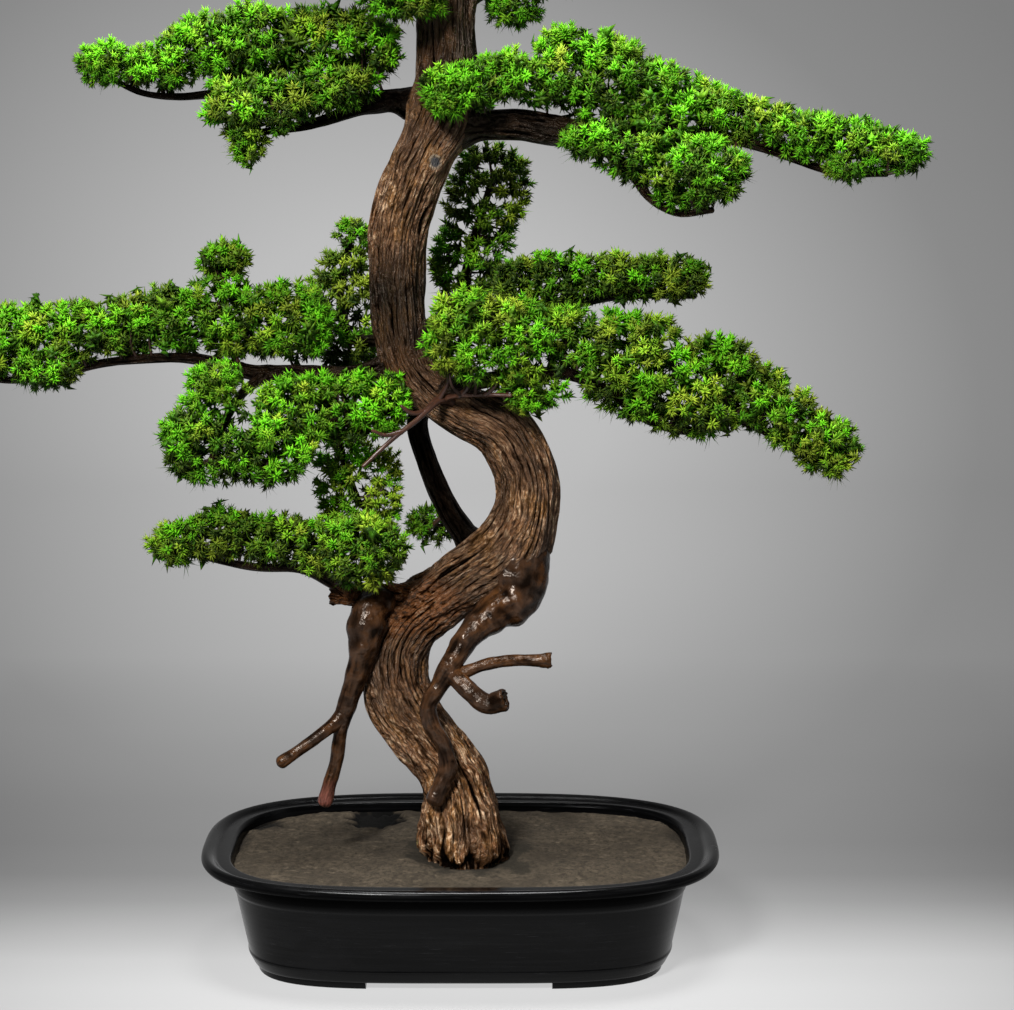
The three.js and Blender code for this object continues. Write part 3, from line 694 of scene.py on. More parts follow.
def wood_tube(name, stations, sides, spacing, relief, factor=None, cup=False, full=0.0):
    """The skin of one piece of wood: points, faces and what its material reads"""
    middles, radii, tangents, along = domed(smooth_line(stations, spacing), cup=cup)
    across, up = carried_frames(tangents)
    angle = np.arange(sides) / sides * 2 * math.pi
    turn = np.repeat(angle[None, :], len(along), 0)
    out = across[:, None] * np.cos(turn)[..., None] + up[:, None] * np.sin(turn)[..., None]
    reach = np.repeat(radii[:, None], sides, 1)
    if factor is not None:
        reach = reach * factor(turn, along[:, None])
    rough = (middles[:, None] + out * reach[..., None]).reshape(-1, 3)
    out = out.reshape(-1, 3)
    if name is not None:
        reach = reach + fillet(rough, name, reach.ravel()).reshape(reach.shape)
    rough = (middles[:, None] + out.reshape(*reach.shape, 3) * reach[..., None]).reshape(-1, 3)
    girth = float(np.median(radii))
    grain = np.stack([np.cos(turn) * girth, np.sin(turn) * girth,
                      np.repeat(along[:, None], sides, 1)], 2).reshape(-1, 3)
    height, crease = relief(grain, rough, girth)
    height = height * np.repeat(np.clip(radii / max(girth, full), 0.15, 1), sides)
    points = rough + out * height[:, None]
    if cup:
        past = np.repeat(step(-4, 0, along - along[-len(CUP_RISE) - 1]), sides)
        jags = 1.5 * noise(rough / 3.4, 7) + 0.8 * noise(rough / 1.7, 8)
        points = points + np.repeat(tangents, sides, 0) * (past * jags)[:, None]
    points = np.vstack([
        points,
        middles[0] - tangents[0] * radii[0] * 0.2,
        middles[-1] + tangents[-1] * radii[-1] * 0.2,
    ])
    grain = np.vstack([grain, [0, 0, along[0]], [0, 0, along[-1]]])
    crease = np.append(crease, [0.5, 0.5])
    return points, *tube_faces(len(along), sides), grain, crease


def wood_piece(name, tubes):
    """One object from several tubes, each a closed skin that runs into the others"""
    base, points, quads, caps, grain, crease = 0, [], [], [], [], []
    for tube_points, tube_quads, tube_caps, tube_grain, tube_crease in tubes:
        points.append(tube_points)
        quads.append(tube_quads + base)
        caps.append(tube_caps + base)
        grain.append(tube_grain)
        crease.append(tube_crease)
        base += len(tube_points)
    piece = piece_from(name, np.vstack(points) * MM + TREE_SHIFT, np.vstack(quads), np.vstack(caps))
    store(piece, "grain", np.vstack(grain) * MM)
    store(piece, "crease", np.concatenate(crease))
    smoothed(piece)
    return piece


def fibres(grain, girth, spacing, length, seed):
    """Fibres along the wood: 1 in the line between two, 1 on a fibre's crown, and each fibre's own height"""
    count = max(5, round(2 * math.pi * girth / spacing))
    round_part = grain[:, :2] / girth
    along = grain[:, 2:3]
    wander = 0.65 * noise(np.hstack([round_part * 2.2, along / (length * 1.6)]), seed)
    wander += 0.3 * noise(np.hstack([round_part * 6.0, along / (length * 0.5)]), seed + 1)
    lane = np.arctan2(grain[:, 1], grain[:, 0]) / (2 * math.pi) * count + wander
    edge = np.floor(lane + 0.5)
    away = np.abs(lane - edge)
    number = np.mod(edge, count)
    presence = noise(np.stack([number * 7.31, grain[:, 2] / length, number * 3.17], 1), seed + 2)
    line = np.exp(-((away / 0.15) ** 2)) * (0.25 + 0.75 * step(-0.3, 0.25, presence))
    own = np.mod(np.floor(lane), count)
    rise = noise(np.stack([own * 5.13, grain[:, 2] / length, own * 2.9], 1), seed + 3)
    return line, np.sin(away * math.pi), rise


def bark_relief(spacing, depth, seed):
    """Long interlaced fibres with narrow fissures, as on the trunk and thick limbs"""

    def relief(grain, place, girth):
        wide, crown, rise = fibres(grain, girth, spacing, spacing * 11, seed)
        fine, small_crown, small_rise = fibres(grain, girth, spacing * 0.5, spacing * 7, seed + 9)
        swell = noise(grain / (spacing * np.array([2.6, 2.6, 7.0])), seed + 4)
        chips = noise(grain / (spacing * np.array([0.7, 0.7, 1.5])), seed + 5)
        height = 0.6 * swell + 0.4 * rise + 0.4 * (crown - 1) - 0.6 * wide
        height += 0.3 * (small_crown - 1) - 0.3 * fine + 0.16 * chips + 0.2 * small_rise
        crease = 1 - 0.7 * wide - 0.35 * fine - 0.22 * (1 - crown)
        crease = crease + 0.2 * rise + 0.2 * chips + 0.2 * swell
        return depth * height, np.clip(crease, 0, 1)

    return relief


def trunk_factor(angle, along):
    flute = 0.055 * np.cos(4 * angle + along / 34) + 0.045 * np.cos(7 * angle - along / 21)
    return 1 + flute + 0.035 * np.sin(along / 17 + 2 * angle)


# Marks on the trunk, in millimetres: where a limb was, where the bark is torn, and its frayed foot
KNOT = (-18, -18, 631)
KNOT_SIZES = (4.6, 13, 5.4)
TORN = (-50, -18, 286)
TORN_SIZES = (62, 44, 28)
FRAYED_TOP = 112
FRAYED_EDGE = 87


def trunk_relief(spacing, depth, seed):
    bark = bark_relief(spacing, depth, seed)

    def relief(grain, place, girth):
        height, crease = bark(grain, place, girth)
        height = height * (1 + 0.5 * step(270, 180, place[:, 2]))
        torn = np.exp(-((np.linalg.norm((place - TORN) / TORN_SIZES, axis=1)) ** 2))
        shreds = noise(place / (7.0, 7.0, 5.0), seed + 11) + 0.6 * noise(place / (3.4, 3.4, 2.6), seed + 12)
        height = height + torn * shreds * 2.8
        crease = np.clip(crease - torn * np.clip(-shreds, 0, 1) * 0.9, 0, 1)
        frayed = step(FRAYED_TOP, FRAYED_EDGE, place[:, 2])
        split = noise(grain / (6.5, 6.5, 34.0), seed + 13)
        teeth = noise(grain / (4.2, 4.2, 300.0), seed + 14) * 6
        teeth += noise(grain / (9.0, 9.0, 300.0), seed + 15) * 5
        hem = step(FRAYED_EDGE + 4 + teeth, FRAYED_EDGE - 2 + teeth, place[:, 2])
        cracks = np.exp(-((split / 0.12) ** 2))
        height = height - frayed * cracks * 3.2 + frayed * split * 1.6 - hem * 6.5
        crease = np.clip(crease - frayed * cracks * 0.9 - hem * 0.4, 0, 1)
        away = np.linalg.norm((place - KNOT) * (1, 0.35, 0.8), axis=1)
        ring = np.exp(-(((away - 6.0) / 1.7) ** 2))
        hollow = step(5.2, 2.8, away)
        height = height * (1 - 0.8 * step(9, 6, away)) + ring * 1.5 - hollow * 0.8
        crease = np.where(away < 8.5, 0.9 - 0.7 * np.exp(-(((away - 4.2) / 0.8) ** 2)), crease)
        return height, np.clip(crease, 0, 1)

    return relief


def torn_relief(bark):
    """The bark of a stump whose end is broken off"""

    def relief(grain, place, girth):
        height, crease = bark(grain, place, girth)
        shreds = noise(place / (6.0, 6.0, 4.6), 51) + 0.7 * noise(place / (3.0, 3.0, 2.4), 52)
        return height + shreds * 2.0, np.clip(crease - np.clip(-shreds, 0, 1) * 0.8, 0, 1)

    return relief


# From this radius on a root has all its knuckles and dents, in millimetres
FULL_RELIEF = 13.0
# The broken ends of two roots, in millimetres
RAGGED_ENDS = ((70, -46, 247), (34, -65, 219))


def root_relief(seed):
    """Smooth skin with knuckles, dents and a few wrinkles, as on the hanging roots"""

    def relief(grain, place, girth):
        knuckles = noise(place / 13.0, seed)
        dents = noise(place / 7.0, seed + 1)
        wrinkles = noise(grain / (7.0, 7.0, 2.2), seed + 2) * np.clip(noise(grain / 16.0, seed + 3) * 2, 0, 1)
        lengthwise = noise(grain / (2.6, 2.6, 15.0), seed + 4)
        knobs = noise(place / 4.2, seed + 5)
        height = 1.6 * knuckles + 0.55 * dents + 0.3 * wrinkles + 0.22 * lengthwise + 0.16 * knobs
        for end in RAGGED_ENDS:
            near = np.exp(-((np.linalg.norm(place - end, axis=1) / 8) ** 2))
            height = height + near * (1.5 * noise(place / 3.6, seed + 6) + noise(place / 1.9, seed + 7))
        crease = np.clip(0.6 + 0.35 * dents + 0.3 * wrinkles + 0.25 * lengthwise + 0.35 * knuckles, 0, 1)
        return height, crease

    return relief


def sides_for(stations, pitch, low, high):
    widest = max(station[3] for station in stations)
    return int(np.clip(round(2 * math.pi * widest / pitch), low, high))


# Painted light and shade on the bark at some heights, in metres: darker where the sprays above shade it,
# paler where the lamps fall full on it
BARK_PAINTED_LIGHT = (
    (0.09, 1.6), (0.18, 1.4), (0.22, 0.8), (0.29, 0.6), (0.38, 1.6), (0.44, 1.0), (0.49, 0.42), (0.53, 0.16),
    (0.59, 1.65), (0.65, 0.9), (0.71, 0.4),
)


def torn_wood(shader, place, raised, body, settings):
    """The bark with ragged orange-brown wood where it is torn"""
    flakes = shader.clouds(shader.scaled(place, (1, 1, 1.6)), 210, 4.0, 0.7)
    torn, pale = tuple(settings.torn_colour), tuple(settings.crest_colour)
    ragged = shader.mix(shader.spread(flakes, 0.40, 0.52), toned(torn, 0.15), torn)
    ragged = shader.mix(shader.spread(flakes, 0.58, 0.68, 0.0, 0.6), ragged, pale)
    # Near black in the creases of the torn wood: painted shade
    ragged = shader.mix(shader.spread(raised, 0.0, 0.4), toned(torn, 0.05), ragged)
    away = shader.plus(shader.away(place, TORN, TORN_SIZES), shader.times(flakes, 0.9))
    return shader.mix(shader.spread(away, 1.5, 1.15), body, ragged)


def knot_ring(shader, place, body):
    """The bark with a pale ring where a limb was cut off"""
    away = shader.away(place, KNOT, KNOT_SIZES)
    beside = shader.calculated(shader.minus(away, 1.0), 0.0, "ABSOLUTE")
    chipped = shader.clouds(place, 330, 3.0)
    # Grey on the cut face inside the ring: a painted sheen
    body = shader.mix(shader.spread(away, 0.95, 0.7), body, (0.07, 0.07, 0.075))
    ring = shader.times(shader.spread(beside, 0.3, 0.1), shader.spread(chipped, 0.4, 0.6))
    return shader.mix(ring, body, (0.36, 0.28, 0.20))


def bark_material(name, settings, light=1.0, gloss=1.0):
    """Semi-gloss fibrous bark: fissures near black, partly painted shade, brown fibres, pale crests that are
    partly wear and partly painted glints, all under painted light and shade by height; light scales that
    painted light and shade, low for limbs painted in shade
    """
    shader = Shader(name)
    grain = shader.kept("grain", "Vector")
    place = shader.place()
    sway = shader.add("ShaderNodeTexNoise", {"Vector": place, "Scale": 60, "Detail": 2.0}).outputs["Color"]
    swayed = shader.add("ShaderNodeVectorMath", {0: sway, 1: (0.006, 0.006, 0.0)}, operation="MULTIPLY_ADD")
    shader.join(grain, swayed.inputs[2])
    swayed = swayed.outputs[0]
    strands = shader.add("ShaderNodeTexVoronoi", {
        "Vector": shader.scaled(swayed, (1, 1, 0.09)), "Scale": 300.0, "Randomness": 1.0,
    }, feature="DISTANCE_TO_EDGE").outputs["Distance"]
    gaps = shader.spread(strands, 0.0, 0.12)
    ribs = shader.clouds(shader.scaled(swayed, (1, 1, 0.16)), 300, 4.0, 0.6)
    fine = shader.clouds(shader.scaled(swayed, (1, 1, 0.34)), 520, 4.0, 0.68)
    patches = shader.clouds(place, 22, 3.0)
    stains = shader.clouds(shader.scaled(place, (1, 1, 0.6)), 48, 3.0)
    height_above = shader.add("ShaderNodeSeparateXYZ", {"Vector": place}).outputs["Z"]
    foot = shader.spread(height_above, 0.2, 0.1)
    ridge, warm, gold = tuple(settings.ridge_colour), tuple(settings.warm_colour), tuple(settings.gold_colour)
    crest, groove = tuple(settings.crest_colour), tuple(settings.groove_colour)
    body = shader.mix(shader.spread(patches, 0.42, 0.58), ridge, warm)
    body = shader.mix(shader.spread(stains, 0.5, 0.64, 0.0, 0.85), body, gold)
    body = shader.mix(shader.spread(fine, 0.5, 0.38, 0.0, 0.75), body, toned(warm, 0.16))
    worn = shader.clouds(shader.scaled(place, (1, 1, 0.7)), 27, 3.0)
    # Painted light and shade by height, scaled by light
    painted_light = shader.greys(height_above, [(level, share * light) for level, share in BARK_PAINTED_LIGHT])
    # Pale crests: partly worn fibre tops, partly painted glints of gloss, shown only where the bark is
    # painted lit
    tops = shader.times(shader.spread(fine, 0.51, 0.63), shader.spread(ribs, 0.38, 0.56, 0.15, 1.0))
    tops = shader.times(tops, shader.spread(worn, 0.36, 0.56, 0.3, 1.0))
    tops = shader.times(tops, shader.spread(painted_light, 0.5 * light, 1.5 * light, 0.1, 1.0))
    body = shader.mix(tops, body, crest)
    body = shader.mix(shader.spread(worn, 0.5, 0.35, 0.0, 0.8), body, toned(warm, 0.22))
    # Near black in the fissures: their own darker colour, deepened as painted shade
    open_ribs = shader.spread(ribs, 0.34, 0.46, 0.2, 1.0)
    raised = shader.times(shader.spread(shader.kept("crease"), 0.22, 0.7), open_ribs)
    raised = shader.times(raised, shader.spread(gaps, 0.0, 1.0, 0.4, 1.0))
    colour = shader.mix(raised, groove, body)
    # The colour darkened and lightened by the painted light and shade
    colour = shader.mix(1.0, colour, painted_light, "MULTIPLY")
    grains = shader.add("ShaderNodeTexVoronoi", {"Vector": place, "Scale": 52.0, "Randomness": 1.0})
    spots = shader.times(shader.spread(grains.outputs["Distance"], 0.16, 0.1), foot)
    colour = shader.mix(spots, colour, (0.42, 0.33, 0.13))
    colour = torn_wood(shader, place, raised, colour, settings)
    colour = knot_ring(shader, place, colour)
    height = shader.plus(shader.times(gaps, 0.5), shader.times(ribs, 2.4))
    height = shader.plus(height, shader.times(fine, 2.2))
    shader.set(Base_Color=colour)
    shader.set(Roughness=shader.spread(fine, 0.35, 0.65, 0.5, 0.24), Specular_Tint=(1.0, 0.86, 0.72, 1.0))
    shader.set(Specular_IOR_Level=shader.spread(raised, 0.1, 0.8, 0.02 * gloss, 0.7 * gloss))
    shader.set(Normal=shader.relief(height, 1.0, 0.0018))
    return shader.material


# Settings


class PotSettings(bpy.types.PropertyGroup):
    length: FloatProperty(
        name="Length", description="Length of the rim",
        default=pot_high.x - pot_low.x, min=0.05, unit="LENGTH",
    )
    depth: FloatProperty(
        name="Depth", description="Depth of the rim",
        default=pot_high.y - pot_low.y, min=0.05, unit="LENGTH",
    )
    sides: IntProperty(name="Sides", description="Points around the rim", default=176, min=32, max=400)
    colour: FloatVectorProperty(
        name="Colour", description="Plastic",
        default=(0.0015, 0.0015, 0.0016), min=0, max=1, subtype="COLOR",
    )
    roughness: FloatProperty(
        name="Roughness", description="0 is a mirror", default=0.17, min=0, max=1, subtype="FACTOR"
    )


class SoilSettings(bpy.types.PropertyGroup):
    colour: FloatVectorProperty(
        name="Colour", description="Dry top of the soil",
        default=(0.112, 0.088, 0.060), min=0, max=1, subtype="COLOR",
    )
    # A darker soil colour, used round the trunk's foot and, far darker still, as painted shade in the hollows
    dark_soil: FloatVectorProperty(
        name="Dark soil colour", description="Hollows of the soil",
        default=(0.022, 0.019, 0.013), min=0, max=1, subtype="COLOR",
    )
    felt: FloatProperty(
        name="Felt", description="Height of the matted fibres",
        default=0.0005, min=0, max=0.003, unit="LENGTH",
    )


class WoodSettings(bpy.types.PropertyGroup):
    spacing: FloatProperty(
        name="Spacing", description="Width of one fibre of bark on the trunk",
        default=0.0044, min=0.002, max=0.02, unit="LENGTH",
    )
    depth: FloatProperty(
        name="Depth", description="Depth of the trunk's fissures",
        default=0.0020, min=0, max=0.005, unit="LENGTH",
    )
    ridge_colour: FloatVectorProperty(
        name="Ridges", description="Greyish brown fibres",
        default=(0.205, 0.098, 0.044), min=0, max=1, subtype="COLOR",
    )
    warm_colour: FloatVectorProperty(
        name="Warm ridges", description="Reddish brown fibres",
        default=(0.200, 0.078, 0.024), min=0, max=1, subtype="COLOR",
    )
    # Pale crests of the fibres: partly wear, partly painted glints
    crest_colour: FloatVectorProperty(
        name="Crests", description="Worn tops of the fibres",
        default=(0.80, 0.56, 0.35), min=0, max=1, subtype="COLOR",
    )
    gold_colour: FloatVectorProperty(
        name="Stains", description="Golden brown patches",
        default=(0.27, 0.115, 0.026), min=0, max=1, subtype="COLOR",
    )
    # Near black: the fissures' own colour, deepened as painted shade
    groove_colour: FloatVectorProperty(
        name="Fissures", description="Bottom of the fissures",
        default=(0.0022, 0.0011, 0.0006), min=0, max=1, subtype="COLOR",
    )
    torn_colour: FloatVectorProperty(
        name="Torn wood", description="Orange-brown wood under torn bark",
        default=(0.21, 0.076, 0.023), min=0, max=1, subtype="COLOR",
    )
    root_colour: FloatVectorProperty(
        name="Roots", description="Smooth skin of the hanging roots",
        default=(0.040, 0.020, 0.011), min=0, max=1, subtype="COLOR",
    )
    tip_colour: FloatVectorProperty(
        name="Root tip", description="Pink end of the left root",
        default=(0.26, 0.09, 0.065), min=0, max=1, subtype="COLOR",
    )
    twig_colour: FloatVectorProperty(
        name="Twigs", description="Thin bare twigs",
        default=(0.068, 0.026, 0.014), min=0, max=1, subtype="COLOR",
    )


class FoliageSettings(bpy.types.PropertyGroup):
    leaflet: FloatProperty(
        name="Leaflet", description="Length of one leaflet",
        default=0.0074, min=0.003, max=0.03, unit="LENGTH",
    )
    width: FloatProperty(
        name="Width", description="Width of one leaflet",
        default=0.0028, min=0.0005, max=0.01, unit="LENGTH",
    )
    shoot: FloatProperty(
        name="Shoot", description="Length of one shoot's stem",
        default=0.0090, min=0.005, max=0.05, unit="LENGTH",
    )
    spacing: FloatProperty(
        name="Spacing", description="Between two shoots",
        default=0.0084, min=0.004, max=0.05, unit="LENGTH",
    )
    inner_spacing: FloatProperty(
        name="Inner spacing", description="Between two shoots inside",
        default=0.0125, min=0.005, max=0.05, unit="LENGTH",
    )
    deep: FloatVectorProperty(
        name="Deep green", description="Old leaflets",
        default=(0.022, 0.050, 0.004), min=0, max=1, subtype="COLOR",
    )
    green: FloatVectorProperty(
        name="Green", description="Full-grown leaflets",
        default=(0.095, 0.36, 0.006), min=0, max=1, subtype="COLOR",
    )
    bright: FloatVectorProperty(
        name="Bright green", description="Young leaflets",
        default=(0.19, 0.72, 0.011), min=0, max=1, subtype="COLOR",
    )
    yellow: FloatVectorProperty(
        name="Yellow green", description="Leaflets with a yellow cast",
        default=(0.46, 0.62, 0.04), min=0, max=1, subtype="COLOR",
    )


class StageSettings(bpy.types.PropertyGroup):
    key: FloatProperty(
        name="Key light", description="Soft light from the upper left", default=88, min=0, unit="POWER"
    )
    fill: FloatProperty(
        name="Fill light", description="Soft light from the right", default=3, min=0, unit="POWER"
    )
    top: FloatProperty(
        name="Top light", description="Soft light overhead", default=46, min=0, unit="POWER"
    )
    air: FloatProperty(name="Room light", description="Even light from all round", default=0.06, min=0)


SETTINGS = {
    "bonsai_pot": PotSettings,
    "bonsai_soil": SoilSettings,
    "bonsai_wood": WoodSettings,
    "bonsai_foliage": FoliageSettings,
    "bonsai_stage": StageSettings,
}


# Pot and soil

# How much the plastic shines at some heights, in metres: almost none under the lip and on its lower front
# edge, a painted shade, and most on the rim's top, a painted highlight
SHINE_LEVELS = ((0.0, 0.13), (0.066, 0.13), (0.071, 0.015), (0.086, 0.015), (0.0885, 0.15), (0.091, 0.27))


def rounded(profile, steps=4):
    """The profile with each corner turned into a short curve of its own size"""
    line = [Vector(entry[:2]) for entry in profile]
    result = [line[0]]
    for before, corner, after, entry in zip(line, line[1:], line[2:], profile[1:]):
        size = min(entry[2], (corner - before).length * 0.48, (after - corner).length * 0.48)
        enter = corner + (before - corner).normalized() * size
        leave = corner + (after - corner).normalized() * size
        for i in range(steps + 1):
            t = i / steps
            result.append(enter * (1 - t) ** 2 + corner * 2 * t * (1 - t) + leave * t**2)
    return result + [line[-1]]


def oval_point(angle, inset, half_length, half_depth):
    power = PLAN_POWER + inset / PLAN_SHARPENING
    reach = (abs(math.cos(angle)) ** power + abs(math.sin(angle)) ** power) ** (-1 / power)
    x = math.cos(angle) * reach * (half_length - inset * MM)
    y = math.sin(angle) * reach * (half_depth - inset * MM)
    return x, y


def lay_on_oval(piece, inset, height, settings):
    """Moves the selected ring of the edited mesh onto the pot's oval at an inset and a height"""
    mesh = bmesh.from_edit_mesh(piece.data)
    half_length, half_depth = settings.length / 2, settings.depth / 2
    for vert in mesh.verts:
        if not vert.select:
            continue
        angle = vert[mesh.verts.layers.float["angle"]]
        x, y = oval_point(angle, inset, half_length, half_depth)
        vert.co = (x, y, height * MM)
    bmesh.update_edit_mesh(piece.data)


class BONSAI_OT_make_pot(bpy.types.Operator):
    """Model the oval tray with its rounded lip and four low feet"""

    bl_idname = "bonsai.make_pot"
    bl_label = "Pot"

    def execute(self, context):
        settings = context.scene.bonsai_pot
        deselect_all()
        bpy.ops.mesh.primitive_circle_add(vertices=settings.sides, radius=0.1, fill_type="NOTHING")
        tub = context.object
        tub.name = "tray_pot"
        bpy.ops.object.mode_set(mode="EDIT")
        mesh = bmesh.from_edit_mesh(tub.data)
        layer = mesh.verts.layers.float.new("angle")
        for vert in mesh.verts:
            vert[layer] = math.atan2(vert.co.y, vert.co.x)
        bmesh.update_edit_mesh(tub.data)
        profile = rounded(POT_OUTSIDE + POT_INSIDE, 3)
        lay_on_oval(tub, *profile[0], settings)
        bpy.ops.mesh.edge_face_add()
        bpy.ops.mesh.select_mode(type="EDGE")
        for entry in profile[1:]:
            bpy.ops.mesh.extrude_edges_move()
            lay_on_oval(tub, *entry, settings)
        bpy.ops.mesh.edge_face_add()
        bpy.ops.mesh.select_mode(type="VERT")
        self.add_feet(tub, settings)
        bpy.ops.mesh.select_all(action="SELECT")
        bpy.ops.mesh.normals_make_consistent(inside=False)
        bpy.ops.object.mode_set(mode="OBJECT")
        tub.data.transform(Matrix.Translation((pot_middle.x, pot_middle.y, 0)))
        tub.data.attributes.remove(tub.data.attributes["angle"])
        bpy.ops.object.shade_smooth_by_angle(angle=math.radians(32))
        finish_piece(tub, self.material(settings), "pot", "pot")
        return {"FINISHED"}

    def add_feet(self, tub, settings):
        """Each foot is a short length of a low ring, its outer edge a little inside the body"""
        half_length, half_depth = settings.length / 2, settings.depth / 2
        x_in, y_in = FOOT_GAP_FRONT / 2 * MM, FOOT_GAP_SIDE / 2 * MM
        kept = []
        for i in range(401):
            angle = math.radians(2 + 86 * i / 400)
            x, y = oval_point(angle, FOOT_INSET, half_length, half_depth)
            if x > x_in and y > y_in:
                kept.append(angle)
        turns = [kept[0] + (kept[-1] - kept[0]) * i / FOOT_STEPS for i in range(FOOT_STEPS + 1)]
        outline = [oval_point(turn, FOOT_INSET, half_length, half_depth) for turn in turns]
        for turn in reversed(turns):
            x, y = oval_point(turn, FOOT_INSET + FOOT_BAND, half_length, half_depth)
            outline.append((max(x, x_in), max(y, y_in)))
        count = len(outline)
        mesh = bmesh.from_edit_mesh(tub.data)
        for side_x, side_y in ((1, 1), (1, -1), (-1, 1), (-1, -1)):
            rings = []
            for height, inward in ((0, FOOT_BEVEL), (FOOT_BEVEL, 0.0), (FOOT_TOP, 0.0)):
                ring = []
                for i, (x, y) in enumerate(outline):
                    move = (-1 if i <= FOOT_STEPS else 1) * inward * MM * 0.7
                    ring.append(mesh.verts.new((side_x * (x + move), side_y * (y + move), height * MM)))
                rings.append(ring)
            for low, high in zip(rings, rings[1:]):
                for i in range(count):
                    j = (i + 1) % count
                    mesh.faces.new((low[i], low[j], high[j], high[i]))
            for ring in (rings[0], rings[-1]):
                for i in range(FOOT_STEPS):
                    mesh.faces.new((ring[i], ring[i + 1], ring[count - 2 - i], ring[count - 1 - i]))
        bmesh.update_edit_mesh(tub.data)

    def material(self, settings):
        """Black moulded plastic with faint level streaks and a few rubbed spots"""
        shader = Shader("black_tray_plastic")
        place = shader.place()
        streaks = shader.clouds(shader.scaled(place, (1, 1, 34)), 14, 5.0, 0.6)
        fine = shader.clouds(shader.scaled(place, (1, 1, 9)), 160, 3.0, 0.6)
        smudges = shader.clouds(shader.scaled(place, (1, 1, 2.5)), 16, 4.0, 0.6)
        colour = tuple(settings.colour)
        scratches = shader.clouds(shader.scaled(place, (1, 1, 16), (0, 0.12, 0)), 40, 4.0, 0.7)
        body = shader.mix(shader.spread(streaks, 0.42, 0.7), colour, toned(colour, 3.0))
        body = shader.mix(shader.spread(smudges, 0.56, 0.76, 0.0, 0.6), body, toned(colour, 5.0))
        body = shader.mix(shader.spread(scratches, 0.62, 0.72, 0.0, 0.7), body, toned(colour, 16.0))
        height = shader.plus(streaks, shader.times(fine, 0.25))
        rough = shader.spread(smudges, 0.35, 0.7, -0.05, 0.1)
        rough = shader.plus(rough, shader.spread(streaks, 0.35, 0.7, 0, 0.07))
        above = shader.add("ShaderNodeSeparateXYZ", {"Vector": place}).outputs["Z"]
        shader.set(Base_Color=body, Roughness=shader.plus(rough, settings.roughness))
        # Shine by height: painted shade under the lip, painted highlight on the rim's top
        shader.set(Specular_IOR_Level=shader.greys(above, SHINE_LEVELS))
        shader.set(Normal=shader.relief(height, 0.2, 0.0005))
        return shader.material


# Where the soil has sunk, in millimetres: middle, half sizes and depth
SOIL_HOLLOWS = [
    (-72, 96, 25, 34, 8.5),
    (-166, 78, 26, 22, 3.0),
    (-180, 30, 12, 40, 2.0),
    (-120, 118, 34, 10, 2.4),
    (60, 118, 60, 7, 2.2),
    (176, 40, 9, 40, 1.2),
]
# Darker ground round the trunk's foot, in millimetres: middle and half sizes
FOOT_DARK = (8, -24, 83)
FOOT_DARK_SIZES = (62, 56, 40)


